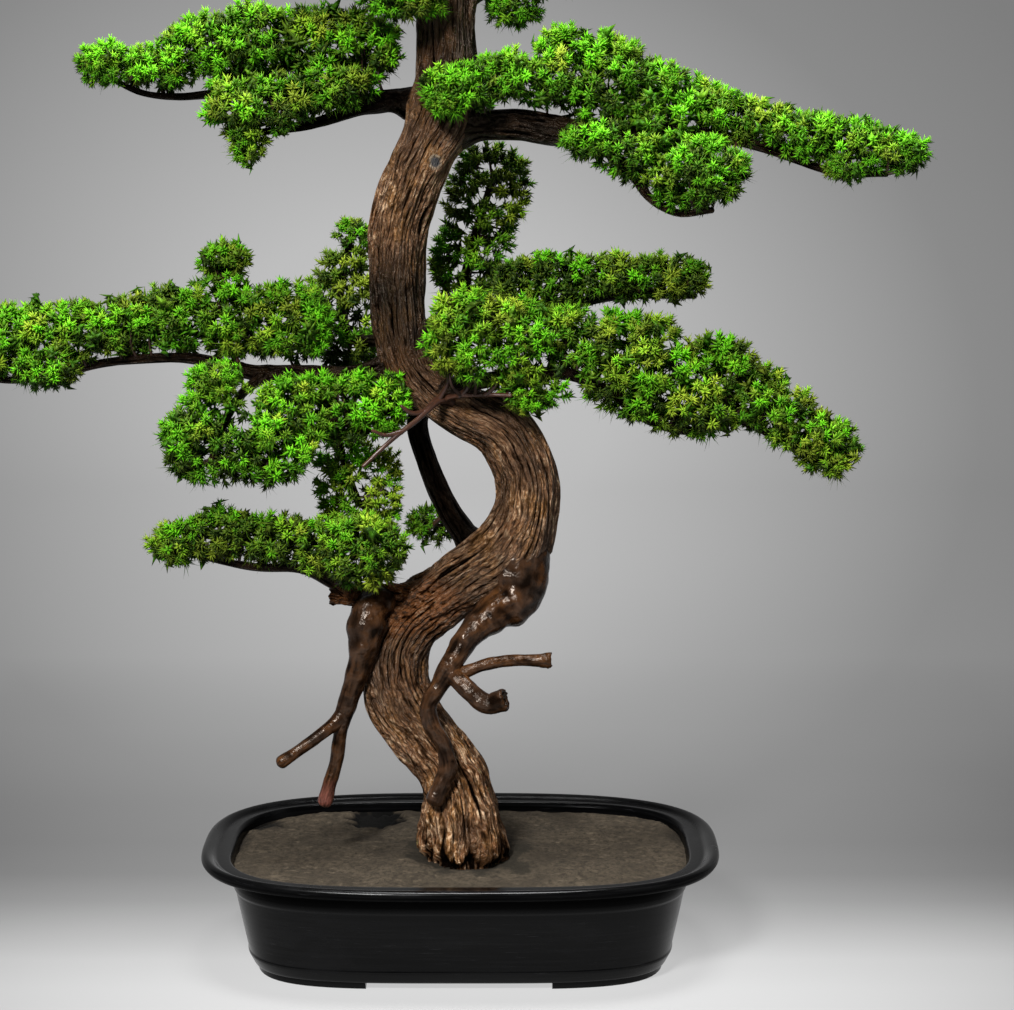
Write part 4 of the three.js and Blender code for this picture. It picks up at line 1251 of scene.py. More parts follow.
class BONSAI_OT_make_soil(bpy.types.Operator):
    """Model the filling of matted dark earth, sunk a little at the pot's wall"""

    bl_idname = "bonsai.make_soil"
    bl_label = "Soil"

    def execute(self, context):
        settings = context.scene.bonsai_soil
        deselect_all()
        bpy.ops.mesh.primitive_grid_add(x_subdivisions=132, y_subdivisions=96, size=2)
        soil = context.object
        soil.name = "soil_filling"
        bpy.ops.object.mode_set(mode="EDIT")
        bpy.ops.mesh.select_all(action="DESELECT")
        mesh = bmesh.from_edit_mesh(soil.data)
        for edge in mesh.edges:
            edge.select = edge.is_boundary
        bmesh.update_edit_mesh(soil.data)
        top_count = len(mesh.verts)
        bpy.ops.mesh.select_mode(type="EDGE")
        marks = [0] * top_count
        for number in range(1, len(SOIL_WALLS) + 1):
            bpy.ops.mesh.extrude_edges_move()
            mesh = bmesh.from_edit_mesh(soil.data)
            marks += [number] * (len(mesh.verts) - len(marks))
        bpy.ops.mesh.edge_face_add()
        bpy.ops.mesh.select_mode(type="VERT")
        bpy.ops.object.mode_set(mode="OBJECT")
        points = np.zeros((len(soil.data.vertices), 3))
        soil.data.vertices.foreach_get("co", points.ravel())
        self.lay(points, np.array(marks), settings)
        soil.data.vertices.foreach_set("co", points.astype(np.float32).ravel())
        bpy.ops.object.mode_set(mode="EDIT")
        bpy.ops.mesh.select_all(action="SELECT")
        bpy.ops.mesh.normals_make_consistent(inside=False)
        bpy.ops.object.mode_set(mode="OBJECT")
        hollow = self.hollows(points[:, 0] / MM - TREE_SHIFT[0] / MM, points[:, 1] / MM)
        store(soil, "hollow", hollow)
        bpy.ops.object.shade_smooth_by_angle(angle=math.radians(50))
        finish_piece(soil, self.material(settings), "soil", "soil")
        return {"FINISHED"}

    def hollows(self, x, y):
        """How far the top has sunk at a place, in millimetres"""
        sunk = np.zeros(len(x))
        ragged = noise(np.stack([x / 9, y / 9, x * 0], 1), 31) * 0.35
        for cx, cy, rx, ry, depth in SOIL_HOLLOWS:
            away = np.hypot((x - cx) / rx, (y - cy) / ry) + ragged
            sunk = np.maximum(sunk, depth * step(1.1, 0.35, away))
        return sunk

    def lay(self, points, marks, settings):
        """Lays the square grid on the oval, sets its walls in, and shapes the top"""
        u, v = points[:, 0].copy(), points[:, 1].copy()
        inset, height = np.full(len(points), SOIL_EDGE), np.zeros(len(points))
        for number, (wall_inset, wall_height) in enumerate(SOIL_WALLS, start=1):
            inset[marks == number] = wall_inset
            height[marks == number] = wall_height
        power = PLAN_POWER + inset / PLAN_SHARPENING
        square = np.maximum(np.abs(u), np.abs(v))
        reach = square / np.maximum((np.abs(u) ** power + np.abs(v) ** power) ** (1 / power), 1e-9)
        x = u * reach * ((pot_high.x - pot_low.x) / 2 / MM - inset)
        y = v * reach * ((pot_high.y - pot_low.y) / 2 / MM - inset)
        top = marks == 0
        place = np.stack([x, y, x * 0], 1)
        trunk = np.hypot((x - 2) / 1.1, y + 26)
        shape = SOIL_TOP - 0.6 + SOIL_MOUND * step(0.62, 0.0, square) + 0.9 * np.sin(x / 23) * np.cos(y / 17)
        shape = shape + 2.2 * np.exp(-(((trunk - 44) / 16) ** 2)) - 2.2 * np.exp(-((trunk / 38) ** 4))
        shape = shape + 1.1 * noise(place / 34, 21) + 0.7 * noise(place / 14, 22)
        felt = settings.felt / MM
        shape = shape + felt * (noise(place / (9, 4.5, 1), 23) + 0.8 * noise(place / (4.6, 3.0, 1), 24))
        shape = shape - self.hollows(x, y) - 1.6 * step(0.965, 1.0, square)
        height = np.where(top, shape, height)
        points[:, 0] = x * MM + pot_middle.x
        points[:, 1] = y * MM + pot_middle.y
        points[:, 2] = height * MM

    def material(self, settings):
        """Matted dark earth with a fine weave of fibres"""
        shader = Shader("matted_soil")
        place = shader.place()
        patches = shader.clouds(place, 26, 4.0, 0.6)
        weave = shader.clouds(shader.scaled(place, (1, 0.8, 1)), 260, 5.0, 0.75)
        long = shader.clouds(shader.scaled(place, (1, 1.4, 1), (0, 0, 0.5)), 120, 4.0, 0.65)
        dry, dark_soil = tuple(settings.colour), tuple(settings.dark_soil)
        body = shader.mix(shader.spread(patches, 0.36, 0.64), toned(dry, 0.62), dry)
        body = shader.mix(shader.spread(weave, 0.36, 0.6), toned(dry, 0.3), body)
        body = shader.mix(shader.spread(long, 0.56, 0.74, 0.0, 0.65), body, toned(dry, 2.0))
        wide = shader.clouds(place, 11, 3.0, 0.6)
        body = shader.mix(shader.spread(wide, 0.5, 0.66, 0.0, 0.6), body, toned(dry, 0.42))
        ragged = shader.clouds(place, 44, 4.0, 0.65)
        foot = shader.plus(shader.away(place, FOOT_DARK, FOOT_DARK_SIZES), shader.times(ragged, 2.4))
        # Darker round the trunk's foot
        body = shader.mix(shader.spread(foot, 2.2, 1.9, 0.0, 0.8), body, dark_soil)
        # Near black in the hollows, darkest where they sink most: painted shade
        body = shader.mix(shader.spread(shader.kept("hollow"), 0.3, 3.2), body, toned(dark_soil, 0.08))
        height = shader.plus(weave, shader.times(long, 0.6))
        shader.set(Base_Color=body, Roughness=0.93, Specular_IOR_Level=0.25)
        shader.set(Normal=shader.relief(height, 0.8, 0.0012))
        return shader.material


# Tubes of wood: how many sides or the fewest and the most of them, the width of one side, and the
# spacing of the rings, in millimetres
TRUNK_SIDES = 156
TRUNK_SPACING = 2.9
LIMB_PITCH = 2.1
LIMB_SIDES = (9, 52)
LIMB_SPACING = 4.6
THICK_LIMB_SIDES = 24
THICK_LIMB_SPACING = 3.0
ROOT_PITCH = 1.9
ROOT_SIDES = (26, 72)


class BONSAI_OT_make_trunk(bpy.types.Operator):
    """Model the barked trunk, with its frayed foot, torn bend and knot"""

    bl_idname = "bonsai.make_trunk"
    bl_label = "Trunk"

    def execute(self, context):
        settings = context.scene.bonsai_wood
        relief = trunk_relief(settings.spacing / MM, settings.depth / MM, 40)
        tube = wood_tube("trunk", TRUNK, TRUNK_SIDES, TRUNK_SPACING, relief, trunk_factor)
        piece = wood_piece("trunk_bark", [tube])
        finish_piece(piece, bark_material("trunk_bark", settings), "wood", "trunk")
        return {"FINISHED"}


class BONSAI_OT_make_limbs(bpy.types.Operator):
    """Model the limbs that carry the sprays"""

    bl_idname = "bonsai.make_limbs"
    bl_label = "Limbs"

    def execute(self, context):
        settings = context.scene.bonsai_wood
        tubes, dark = [], []
        for number, (name, (width, depth)) in enumerate(BARK.items()):
            sides = sides_for(LIMBS[name], LIMB_PITCH, *LIMB_SIDES)
            relief = bark_relief(width, depth, 60 + number * 5)
            if name == "brokenStump":
                relief = torn_relief(relief)
            spacing = THICK_LIMB_SPACING if sides > THICK_LIMB_SIDES else LIMB_SPACING
            tube = wood_tube(name, LIMBS[name], sides, spacing, relief, cup=name == "brokenStump")
            (dark if name in DARK_LIMBS else tubes).append(tube)
        # The limbs' bark is painted in shade: its painted light cut to a tenth, and to a fiftieth for the
        # dark limbs, which are partly black of their own
        bark = bark_material("limb_bark", settings, 0.1, 0.35)
        finish_piece(wood_piece("limb_bark", tubes), bark, "wood", "trunk")
        dark_bark = bark_material("dark_bark", settings, 0.02, 0.12)
        finish_piece(wood_piece("dark_limbs", dark), dark_bark, "wood", "trunk")
        return {"FINISHED"}


class BONSAI_OT_make_roots(bpy.types.Operator):
    """Model the smooth knuckled roots that hang from the trunk"""

    bl_idname = "bonsai.make_roots"
    bl_label = "Roots"

    def execute(self, context):
        settings = context.scene.bonsai_wood
        tubes = []
        for number, name in enumerate(ROOTS):
            sides = sides_for(LIMBS[name], ROOT_PITCH, *ROOT_SIDES)
            tubes.append(wood_tube(
                name, LIMBS[name], sides, ROOT_PITCH, root_relief(90 + number * 8),
                cup=name in BROKEN_ROOTS, full=FULL_RELIEF,
            ))
        piece = wood_piece("hanging_roots", tubes)
        finish_piece(piece, self.material(settings), "wood", "trunk")
        return {"FINISHED"}

    def material(self, settings):
        """Smooth dark skin with a soft gloss, redder in patches, with painted highlights on the knobs and
        painted shade in the dents
        """
        shader = Shader("root_skin")
        place, grain = shader.place(), shader.kept("grain", "Vector")
        patches = shader.clouds(place, 34, 3.0)
        lines = shader.clouds(shader.scaled(grain, (1, 1, 0.2)), 420, 4.0, 0.6)
        knobs = shader.clouds(place, 120, 2.0, 0.5)
        pores = shader.clouds(place, 640, 3.0, 0.65)
        parts = shader.add("ShaderNodeSeparateXYZ", {"Vector": place})
        root, warm = tuple(settings.root_colour), tuple(settings.warm_colour)
        body = shader.mix(shader.spread(patches, 0.42, 0.62), root, toned(warm, 0.45))
        body = shader.mix(shader.spread(lines, 0.5, 0.36, 0.0, 0.7), body, toned(root, 0.12))
        # Paler on the knobs: a painted highlight
        body = shader.mix(shader.spread(knobs, 0.54, 0.7, 0.0, 0.7), body, toned(root, 2.4))
        raised = shader.spread(shader.kept("crease"), 0.25, 0.75)
        # Darker in the dents and wrinkles: painted shade
        body = shader.mix(raised, toned(root, 0.15), body)
        tip = shader.times(
            shader.spread(parts.outputs["Z"], 0.152, 0.134), shader.spread(parts.outputs["X"], -0.07, -0.085)
        )
        pink = tuple(settings.tip_colour)
        pink = shader.mix(shader.spread(lines, 0.4, 0.6), toned(pink, 0.3), pink)
        body = shader.mix(tip, body, pink)
        height = shader.plus(shader.times(lines, 0.6), shader.times(pores, 0.12))
        height = shader.plus(height, shader.times(knobs, 1.8))
        shader.set(Base_Color=body, Roughness=shader.spread(knobs, 0.35, 0.65, 0.3, 0.17))
        shader.set(Specular_IOR_Level=shader.spread(raised, 0.1, 0.9, 0.06, 0.34))
        shader.set(Specular_Tint=(1.0, 0.86, 0.74, 1.0), Normal=shader.relief(height, 0.6, 0.0016))
        return shader.material


class BONSAI_OT_make_twigs(bpy.types.Operator):
    """Model the bare reddish twigs with their small forks"""

    bl_idname = "bonsai.make_twigs"
    bl_label = "Twigs"

    def execute(self, context):
        settings = context.scene.bonsai_wood
        tubes = []
        for number, name in enumerate(FRONT_TWIGS):
            relief = bark_relief(2.6, 0.35, 130 + number * 5)
            thinned = [[*place, radius * TWIG_THIN] for *place, radius in LIMBS[name]]
            tubes.append(wood_tube(name, thinned, 14, 2.4, relief))
        for number, stations in enumerate(TWIG_FORKS):
            tubes.append(wood_tube(None, stations, 10, 2.0, bark_relief(2.2, 0.25, 160 + number * 5)))
        piece = wood_piece("front_twigs", tubes)
        finish_piece(piece, self.material(settings), "wood", "trunk")
        return {"FINISHED"}

    def material(self, settings):
        shader = Shader("twig_skin")
        grain, place = shader.kept("grain", "Vector"), shader.place()
        lines = shader.clouds(shader.scaled(grain, (1, 1, 0.2)), 700, 3.0, 0.6)
        patches = shader.clouds(place, 60, 3.0)
        twig = tuple(settings.twig_colour)
        body = shader.mix(shader.spread(patches, 0.4, 0.65), twig, toned(twig, 0.45))
        # Paler streaks along the twig: painted glints
        body = shader.mix(shader.spread(lines, 0.5, 0.72, 0.0, 0.7), body, toned(twig, 1.9))
        shader.set(Base_Color=body, Roughness=0.34, Specular_IOR_Level=0.45)
        shader.set(Normal=shader.relief(lines, 0.5, 0.0005))
        return shader.material


# Leafy sprays

# Shoots: how many shapes of each sort, how many leaflets on each, how far they reach from their
# root, in millimetres, how much longer and narrower the needles are than leaflets, and how far
# apart the lumps of a spray are
SHOOT_KINDS = 10
LEAFLETS = 22
INNER_LEAFLETS = 11
INNER_BREADTH = 2.1
INNER_SHARES = (0.68, 0.4)
INNER_REACH = 19.0
NEEDLES = 12
NEEDLE_LENGTH = 1.9
NEEDLE_WIDTH = 0.3
NEEDLE_SHARE = 0.05
SHOOT_REACH = 15.0
LUMP_SPACING = 25.0
LUMP_ROOT = 20.0
# Wood thicker than this pushes shoots away, and is looked for this far from its line
THICK = 6.5
WOOD_MARGIN = 40
# The size of the clump between two others, how many places are tried for a shoot, on a sphere's
# area in squares of its radius, and the thickness from which a clump has shoots of full size
MIDDLE_SIZE = 0.96
TRIES = 9
SPHERE = 12.6
FULL_THICKNESS = 24
# How far the outer shoots lean along the surface's normal, stray and lift
SHOOT_LEAN = 0.45
SHOOT_STRAY = 0.22
SHOOT_LIFT = 0.14
# Twigs inside a spray: the share of shoots that have one, their least and greatest length, their
# radii and the spacing of their points, in millimetres, and their sides
TWIG_SHARE = 0.035
TWIG_LENGTHS = (8, 45)
TWIG_RADII = (1.4, 1.1, 0.7)
TWIG_SPACING = 5.0
TWIG_SIDES = 5


def primitive_shape(adder, stretch):
    """The points and triangles of a primitive that is stretched in edit mode, then removed"""
    deselect_all()
    adder()
    shape = bpy.context.object
    bpy.ops.object.mode_set(mode="EDIT")
    bpy.ops.mesh.select_all(action="SELECT")
    bpy.ops.transform.resize(value=stretch)
    bpy.ops.mesh.quads_convert_to_tris()
    bpy.ops.mesh.normals_make_consistent(inside=False)
    bpy.ops.object.mode_set(mode="OBJECT")
    points = np.array([shape.matrix_world @ vert.co for vert in shape.data.vertices])
    faces = np.array([tuple(face.vertices) for face in shape.data.polygons])
    mesh = shape.data
    bpy.data.objects.remove(shape)
    bpy.data.meshes.remove(mesh)
    return points, faces


def turned_to(directions, rolls):
    """Turns that take +Z to each direction, after a roll about it"""
    directions = directions / np.linalg.norm(directions, axis=-1, keepdims=True)
    helper = np.where(np.abs(directions[:, 2:3]) < 0.9, [[0.0, 0, 1]], [[1.0, 0, 0]])
    side = np.cross(helper, directions)
    side /= np.linalg.norm(side, axis=1)[:, None]
    up = np.cross(directions, side)
    first = side * np.cos(rolls)[:, None] + up * np.sin(rolls)[:, None]
    second = np.cross(directions, first)
    return np.stack([first, second, directions], 2)


def shoot_kinds(settings, leaflets, longer, broader, seed):
    """A few shoots along +Z: a stem with pointed leaflets round it that open into a star at its tip"""
    length, width = settings.leaflet / MM * longer, settings.width / MM * broader
    leaf_points, leaf_faces = primitive_shape(
        lambda: bpy.ops.mesh.primitive_cone_add(
            vertices=3, radius1=width * 0.62, depth=length, location=(0, 0, length / 2)
        ),
        (1.0, 0.42, 1.0),
    )
    stem_length = settings.shoot / MM
    stem_points, stem_faces = primitive_shape(
        lambda: bpy.ops.mesh.primitive_cone_add(
            vertices=3, radius1=0.55, depth=stem_length, location=(0, 0, stem_length / 2)
        ),
        (1.0, 1.0, 1.0),
    )
    tall = leaf_points[:, 2] / length
    kinds = []
    for kind in range(SHOOT_KINDS):
        draw = np.random.default_rng(seed + kind)
        share = np.linspace(0.12, 1.0, leaflets) ** 0.7
        azimuth = np.arange(leaflets) * 2.39996 + draw.uniform(-0.4, 0.4, leaflets)
        tilt = np.radians(94 - 64 * share**1.6 + draw.uniform(-15, 15, leaflets))
        size = (1.04 - 0.16 * share) * draw.uniform(0.74, 1.2, leaflets)
        level = np.sin(tilt)
        directions = np.stack([level * np.cos(azimuth), level * np.sin(azimuth), np.cos(tilt)], 1)
        bend = draw.uniform(-0.16, 0.16, 2)
        stem_at = stem_length * np.stack([bend[0] * share**2, bend[1] * share**2, share * 0.97], 1)
        turns = turned_to(directions, draw.uniform(-0.5, 0.5, leaflets))
        leaves = np.einsum("nij,nkj->nki", turns, leaf_points[None] * size[:, None, None])
        leaves += stem_at[:, None]
        stem = stem_points.copy()
        rise = stem[:, 2] / stem_length
        stem[:, 0] += bend[0] * stem_length * rise**2
        stem[:, 1] += bend[1] * stem_length * rise**2
        points = np.vstack([stem, leaves.reshape(-1, 3)])
        offsets = len(stem) + np.arange(leaflets) * len(leaf_points)
        faces = np.vstack([stem_faces, (leaf_faces[None] + offsets[:, None, None]).reshape(-1, 3)])
        along = np.concatenate([np.zeros(len(stem)), np.tile(tall, leaflets)])
        leaf_shade = np.repeat(draw.uniform(0, 1, leaflets), len(leaf_points))
        shade = np.concatenate([np.full(len(stem), 0.5), leaf_shade])
        kinds.append((points, faces, along, shade))
    return kinds


def depth_in(clumps, points):
    """The smallest depth of each point in a list of clumps: below 1 is inside one"""
    depth = np.full(len(points), 9.0)
    for clump in np.asarray(clumps, float).reshape(-1, 6):
        depth = np.minimum(depth, np.linalg.norm((points - clump[:3]) / clump[3:], axis=1))
    return depth


def clear_of_wood(points, room):
    """Which points keep away from the trunk, the roots and the thick parts of the limbs"""
    clear = np.ones(len(points), bool)
    for middles, radii in SKELETON.values():
        thick = radii > THICK
        if thick.sum() < 2:
            continue
        middles, radii = middles[thick], radii[thick]
        near = ((points > middles.min(0) - WOOD_MARGIN) & (points < middles.max(0) + WOOD_MARGIN)).all(1)
        if near.any():
            clear[near] &= distance_to(points[near], middles, radii)[0] > room
    return clear


def spread_out(points, spacing):
    """Which points to keep, in their order, so that each is at least its spacing from those before it"""
    kept, cells = [], {}
    reach = float(np.max(spacing))
    keys = np.floor(points / reach).astype(int)
    around = [np.array(shift) - 1 for shift in np.ndindex(3, 3, 3)]
    for number, (point, key) in enumerate(zip(points, keys)):
        close = [i for shift in around for i in cells.get(tuple(key + shift), ())]
        if close and (np.linalg.norm(points[close] - point, axis=1) < spacing[number]).any():
            continue
        kept.append(number)
        cells.setdefault(tuple(key), []).append(number)
    return np.array(kept)


def with_middles(strand):
    """The clumps of a strand and one more between each two"""
    clumps = np.array(strand, float)
    middles = (clumps[:-1] + clumps[1:]) / 2 * ([1] * 3 + [MIDDLE_SIZE] * 3)
    return np.vstack([clumps, middles])


def on_clumps(clumps, share, spacing, draw):
    """Points spread over the outside of a spray's clumps taken in by a share: points, normals, thickness"""
    places, normals, thickness = [], [], []
    for number, clump in enumerate(clumps):
        sizes = clump[3:] * share
        tries = int(TRIES * sizes.prod() ** (2 / 3) * SPHERE / spacing**2) + 12
        turns = draw.normal(size=(tries, 3))
        turns /= np.linalg.norm(turns, axis=1)[:, None]
        points = clump[:3] + turns * sizes
        others = np.delete(clumps, number, 0)
        free = depth_in(others, points) > 0.98 * share
        places.append(points[free])
        normals.append((turns / sizes)[free])
        thickness.append(np.full(free.sum(), sizes.min()))
    places, normals, thickness = np.vstack(places), np.vstack(normals), np.concatenate(thickness)
    order = draw.permutation(len(places))
    places, normals, thickness = places[order], normals[order], thickness[order]
    normals /= np.linalg.norm(normals, axis=1)[:, None]
    size = np.clip(thickness / FULL_THICKNESS, 0.66, 1.0)
    kept = spread_out(places, spacing * size)
    return places[kept], normals[kept], size[kept]


def shoots_of(clumps, spacing, draw):
    """The outer shoots of a spray: where each starts, points, how long it is, its lump and its place in it"""
    places, normals, size = on_clumps(clumps, 1.0, spacing, draw)
    lumps, lump_normals, _ = on_clumps(clumps, 1.0, LUMP_SPACING, draw)
    away = np.linalg.norm(places[:, None] - lumps[None], axis=2)
    lump = away.argmin(1)
    valley = np.clip(away.min(1) / (0.6 * LUMP_SPACING), 0, 1.2) ** 2
    root = lumps[lump] - lump_normals[lump] * LUMP_ROOT
    tips = places - normals * (4.0 * valley - 1.8 + draw.uniform(-1.4, 1.8, len(places)))[:, None]
    ways = tips - root
    ways /= np.linalg.norm(ways, axis=1)[:, None]
    ways = ways + normals * SHOOT_LEAN + draw.normal(0, SHOOT_STRAY, ways.shape)
    ways[:, 2] += SHOOT_LIFT
    ways /= np.linalg.norm(ways, axis=1)[:, None]
    size = size * draw.uniform(0.86, 1.14, len(size))
    starts = tips - ways * (SHOOT_REACH * size)[:, None]
    kept = clear_of_wood(tips, 1.5) & clear_of_wood((starts + tips) / 2, 0.5)
    return [column[kept] for column in (starts, ways, size, lump, valley)]


def inner_shoots_of(clumps, spacing, draw):
    """Coarse shoots, painted dark as shade, that fill a spray behind the outer ones"""
    layers = [on_clumps(clumps, share, spacing, draw) for share in INNER_SHARES]
    places, normals, size = (np.concatenate(column) for column in zip(*layers))
    ways = normals * 0.4 + draw.normal(0, 0.6, normals.shape)
    ways /= np.linalg.norm(ways, axis=1)[:, None]
    starts = places - ways * (SHOOT_REACH * size * 0.95)[:, None]
    tips = starts + ways * (INNER_REACH * size)[:, None]
    kept = clear_of_wood(places, 2.0) & clear_of_wood(starts, 0.0) & (depth_in(clumps, tips) < 0.86)
    return [column[kept] for column in (starts, ways, size)]


class BONSAI_OT_make_sprays(bpy.types.Operator):
    """Model the leafy sprays: tufts of small pointed shoots along each branch"""

    bl_idname = "bonsai.make_sprays"
    bl_label = "Sprays"

    def execute(self, context):
        settings = context.scene.bonsai_foliage
        kinds = shoot_kinds(settings, LEAFLETS, 1.0, 1.0, 400)
        kinds += shoot_kinds(settings, INNER_LEAFLETS, INNER_BREADTH**0.5, INNER_BREADTH, 500)
        kinds += shoot_kinds(settings, NEEDLES, NEEDLE_LENGTH, NEEDLE_WIDTH, 600)
        material = self.material(settings)
        twigs = []
        for number, (name, strands) in enumerate(SPRAYS.items()):
            draw = np.random.default_rng(700 + number)
            clumps = np.vstack([with_middles(strand) for strand in strands])
            shoots = self.shoots(name, clumps, settings, draw)
            twigs += self.twigs_to(shoots[0], draw)
            piece = self.assemble("leaves_" + name.removeprefix("spray_"), shoots, kinds, draw)
            finish_piece(piece, material, "leaf", name)
        self.add_twigs(twigs, context.scene.bonsai_wood)
        return {"FINISHED"}

    def shoots(self, name, clumps, settings, draw):
        """The shoots of a spray: starts, ways, lengths, light, yellow, and 0 outer, 1 inner, 2 needles"""
        spray_light, spray_yellow = SPRAY_TONES[name]
        outer_spacing, inner_spacing = settings.spacing / MM, settings.inner_spacing / MM
        if name in SPARSE:
            outer_spacing *= SPARSE_SPACING
            inner_spacing *= SPARSE_INNER_SPACING
        starts, ways, size, lump, valley = shoots_of(clumps, outer_spacing, draw)
        lump_light = draw.normal(0, 0.13, lump.max() + 1)
        lump_yellow = draw.normal(0, 0.19, lump.max() + 1)
        count = len(starts)
        light = spray_light + lump_light[lump] + draw.normal(0, 0.15, count)
        # Painted shade in the valleys between lumps, painted light on the shoots that point up
        light = light - 0.2 * valley + 0.16 * ways[:, 2]
        yellow = spray_yellow + lump_yellow[lump] + draw.normal(0, 0.13, count)
        inner_starts, inner_ways, inner_size = inner_shoots_of(clumps, inner_spacing, draw)
        inner = len(inner_starts)
        # The inner shoots are painted in shade
        inner_light = spray_light - 0.28 + draw.normal(0, 0.1, inner)
        inner_yellow = spray_yellow + draw.normal(0, 0.15, inner)
        tufts = np.flatnonzero(draw.random(count) < NEEDLE_SHARE * (1.6 - 2.2 * ways[:, 2]))
        return (
            np.vstack([starts, inner_starts, starts[tufts]]),
            np.vstack([ways, inner_ways, ways[tufts]]),
            np.concatenate([size, inner_size, size[tufts]]),
            np.concatenate([light, inner_light, light[tufts]]),
            np.concatenate([yellow, inner_yellow, yellow[tufts]]),
            np.repeat([0, 1, 2], [count, inner, len(tufts)]),
        )

    def assemble(self, name, shoots, kinds, draw):
        """One mesh of all the shoots of a spray, with what its material reads"""
        starts, ways, lengths, lights, yellows, sorts = shoots
        which = draw.integers(0, SHOOT_KINDS, len(starts)) + sorts * SHOOT_KINDS
        turns = turned_to(ways, draw.uniform(0, 2 * math.pi, len(starts)))
        points, faces, tones, base = [], [], [], 0
        for number, (shape, triangles, along, shade) in enumerate(kinds):
            mine = np.flatnonzero(which == number)
            if len(mine) == 0:
                continue
            placed = np.einsum("nij,nkj->nki", turns[mine], shape[None] * lengths[mine, None, None])
            placed += starts[mine, None]
            count = len(shape)
            points.append(placed.reshape(-1, 3))
            firsts = (base + np.arange(len(mine)) * count)[:, None, None]
            faces.append((triangles[None] + firsts).reshape(-1, 3))
            tone = np.empty((len(mine), count, 4))
            tone[..., 0] = np.clip(lights[mine, None] + (shade[None] - 0.5) * 0.24, 0, 1)
            tone[..., 1] = np.clip(yellows[mine, None] + (shade[None, ::-1] - 0.5) * 0.2, 0, 1)
            tone[..., 2] = along[None]
            # Alpha 0 marks the inner shoots, which the material paints in shade
            tone[..., 3] = sorts[mine, None] != 1
            tones.append(tone.reshape(-1, 4))
            base += len(mine) * count
        piece = piece_from(name, np.vstack(points) * MM + TREE_SHIFT, np.vstack(faces))
        store(piece, "leaf_tone", np.vstack(tones))
        return piece

    def twigs_to(self, bases, draw):
        """Thin twigs from the nearest limb to a few of the shoots"""
        limbs = [name for name in LIMBS if name not in ROOTS]
        middles = np.vstack([SKELETON[name][0] for name in limbs])
        twigs = []
        for base in bases[draw.random(len(bases)) < TWIG_SHARE]:
            away = np.linalg.norm(middles - base, axis=1)
            nearest = middles[np.argmin(away)]
            if not TWIG_LENGTHS[0] < away.min() < TWIG_LENGTHS[1]:
                continue
            bow = (nearest + base) / 2 + draw.normal(0, away.min() * 0.08, 3) - [0, 0, away.min() * 0.06]
            twigs.append([[*point, radius] for point, radius in zip((nearest, bow, base), TWIG_RADII)])
        return twigs

    def add_twigs(self, twigs, settings):
        tubes = []
        for number, stations in enumerate(twigs):
            middles, radii, tangents, along = domed(smooth_line(stations, TWIG_SPACING), steps=1)
            across, up = carried_frames(tangents)
            angle = np.arange(TWIG_SIDES) / TWIG_SIDES * 2 * math.pi
            turns = angle[None, :, None]
            out = across[:, None] * np.cos(turns) + up[:, None] * np.sin(turns)
            bumps = 1 + 0.25 * noise(np.stack([along / 4, along * 0 + number, along * 0], 1), 5)
            points = (middles[:, None] + out * (radii * bumps)[:, None, None]).reshape(-1, 3)
            points = np.vstack([points, middles[0] - tangents[0] * 0.4, middles[-1] + tangents[-1] * 0.4])
            grain = np.zeros((len(points), 3))
            grain[:-2, 2] = np.repeat(along, TWIG_SIDES)
            grain[:-2, 0] = np.tile(np.cos(angle), len(along)) * 1.5
            faces = tube_faces(len(along), TWIG_SIDES)
            tubes.append((points, *faces, grain, np.full(len(points), 0.7)))
        piece = wood_piece("spray_twigs", tubes)
        shader = Shader("spray_twig_skin")
        lines = shader.clouds(shader.place(), 420, 3.0, 0.6)
        twig = tuple(settings.twig_colour)
        dark, pale = toned(twig, 0.35), toned(twig, 0.8)
        body = shader.mix(shader.spread(lines, 0.4, 0.66), dark, pale)
        shader.set(Base_Color=body, Roughness=0.6, Normal=shader.relief(lines, 0.4, 0.0004))
        finish_piece(piece, shader.material, "wood", "trunk")

    def material(self, settings):
        """Waxy plastic leaflets in several greens, darker at the root as painted shade, paler and yellower at
        the tip as partly painted light, and the inner ones painted in shade
        """
        shader = Shader("leaf_greens")
        tone = shader.add("ShaderNodeAttribute", attribute_name="leaf_tone")
        parts = shader.add("ShaderNodeSeparateColor", {"Color": tone.outputs["Color"]})
        light, yellow, along = parts.outputs[0], parts.outputs[1], parts.outputs[2]
        place = shader.place()
        clouds = shader.clouds(place, 30, 2.0)
        light = shader.plus(light, shader.spread(clouds, 0.3, 0.7, -0.14, 0.14))
        deep, green, bright = tuple(settings.deep), tuple(settings.green), tuple(settings.bright)
        greens = shader.ramp(light, (0.08, deep), (0.48, green), (0.85, bright))
        yellows = tuple(settings.yellow)
        dull, half = toned(deep, 1.3), toned(yellows, 0.5)
        olive = shader.ramp(light, (0.08, dull), (0.5, half), (0.9, yellows))
        body = shader.mix(shader.spread(yellow, 0.3, 0.75), greens, olive)
        # Darker towards the leaflet's root: painted shade
        body = shader.mix(shader.spread(along, 0.0, 0.5, 0.5, 0.0), body, deep)
        # Paler and yellower at the tip: partly painted light
        body = shader.mix(shader.spread(along, 0.5, 1.0, 0.0, 0.3), body, yellows)
        # The inner shoots darkened further: painted shade
        inner_shade = shader.spread(tone.outputs["Alpha"], 0.0, 1.0, 0.3, 0.0)
        body = shader.mix(inner_shade, body, toned(deep, 0.5))
        grain = shader.clouds(place, 900, 2.0)
        shader.set(Base_Color=body, Roughness=shader.spread(grain, 0.3, 0.7, 0.42, 0.6))
        shader.set(Specular_IOR_Level=0.18, Normal=shader.relief(grain, 0.2, 0.0002))
        return shader.material


# Stage

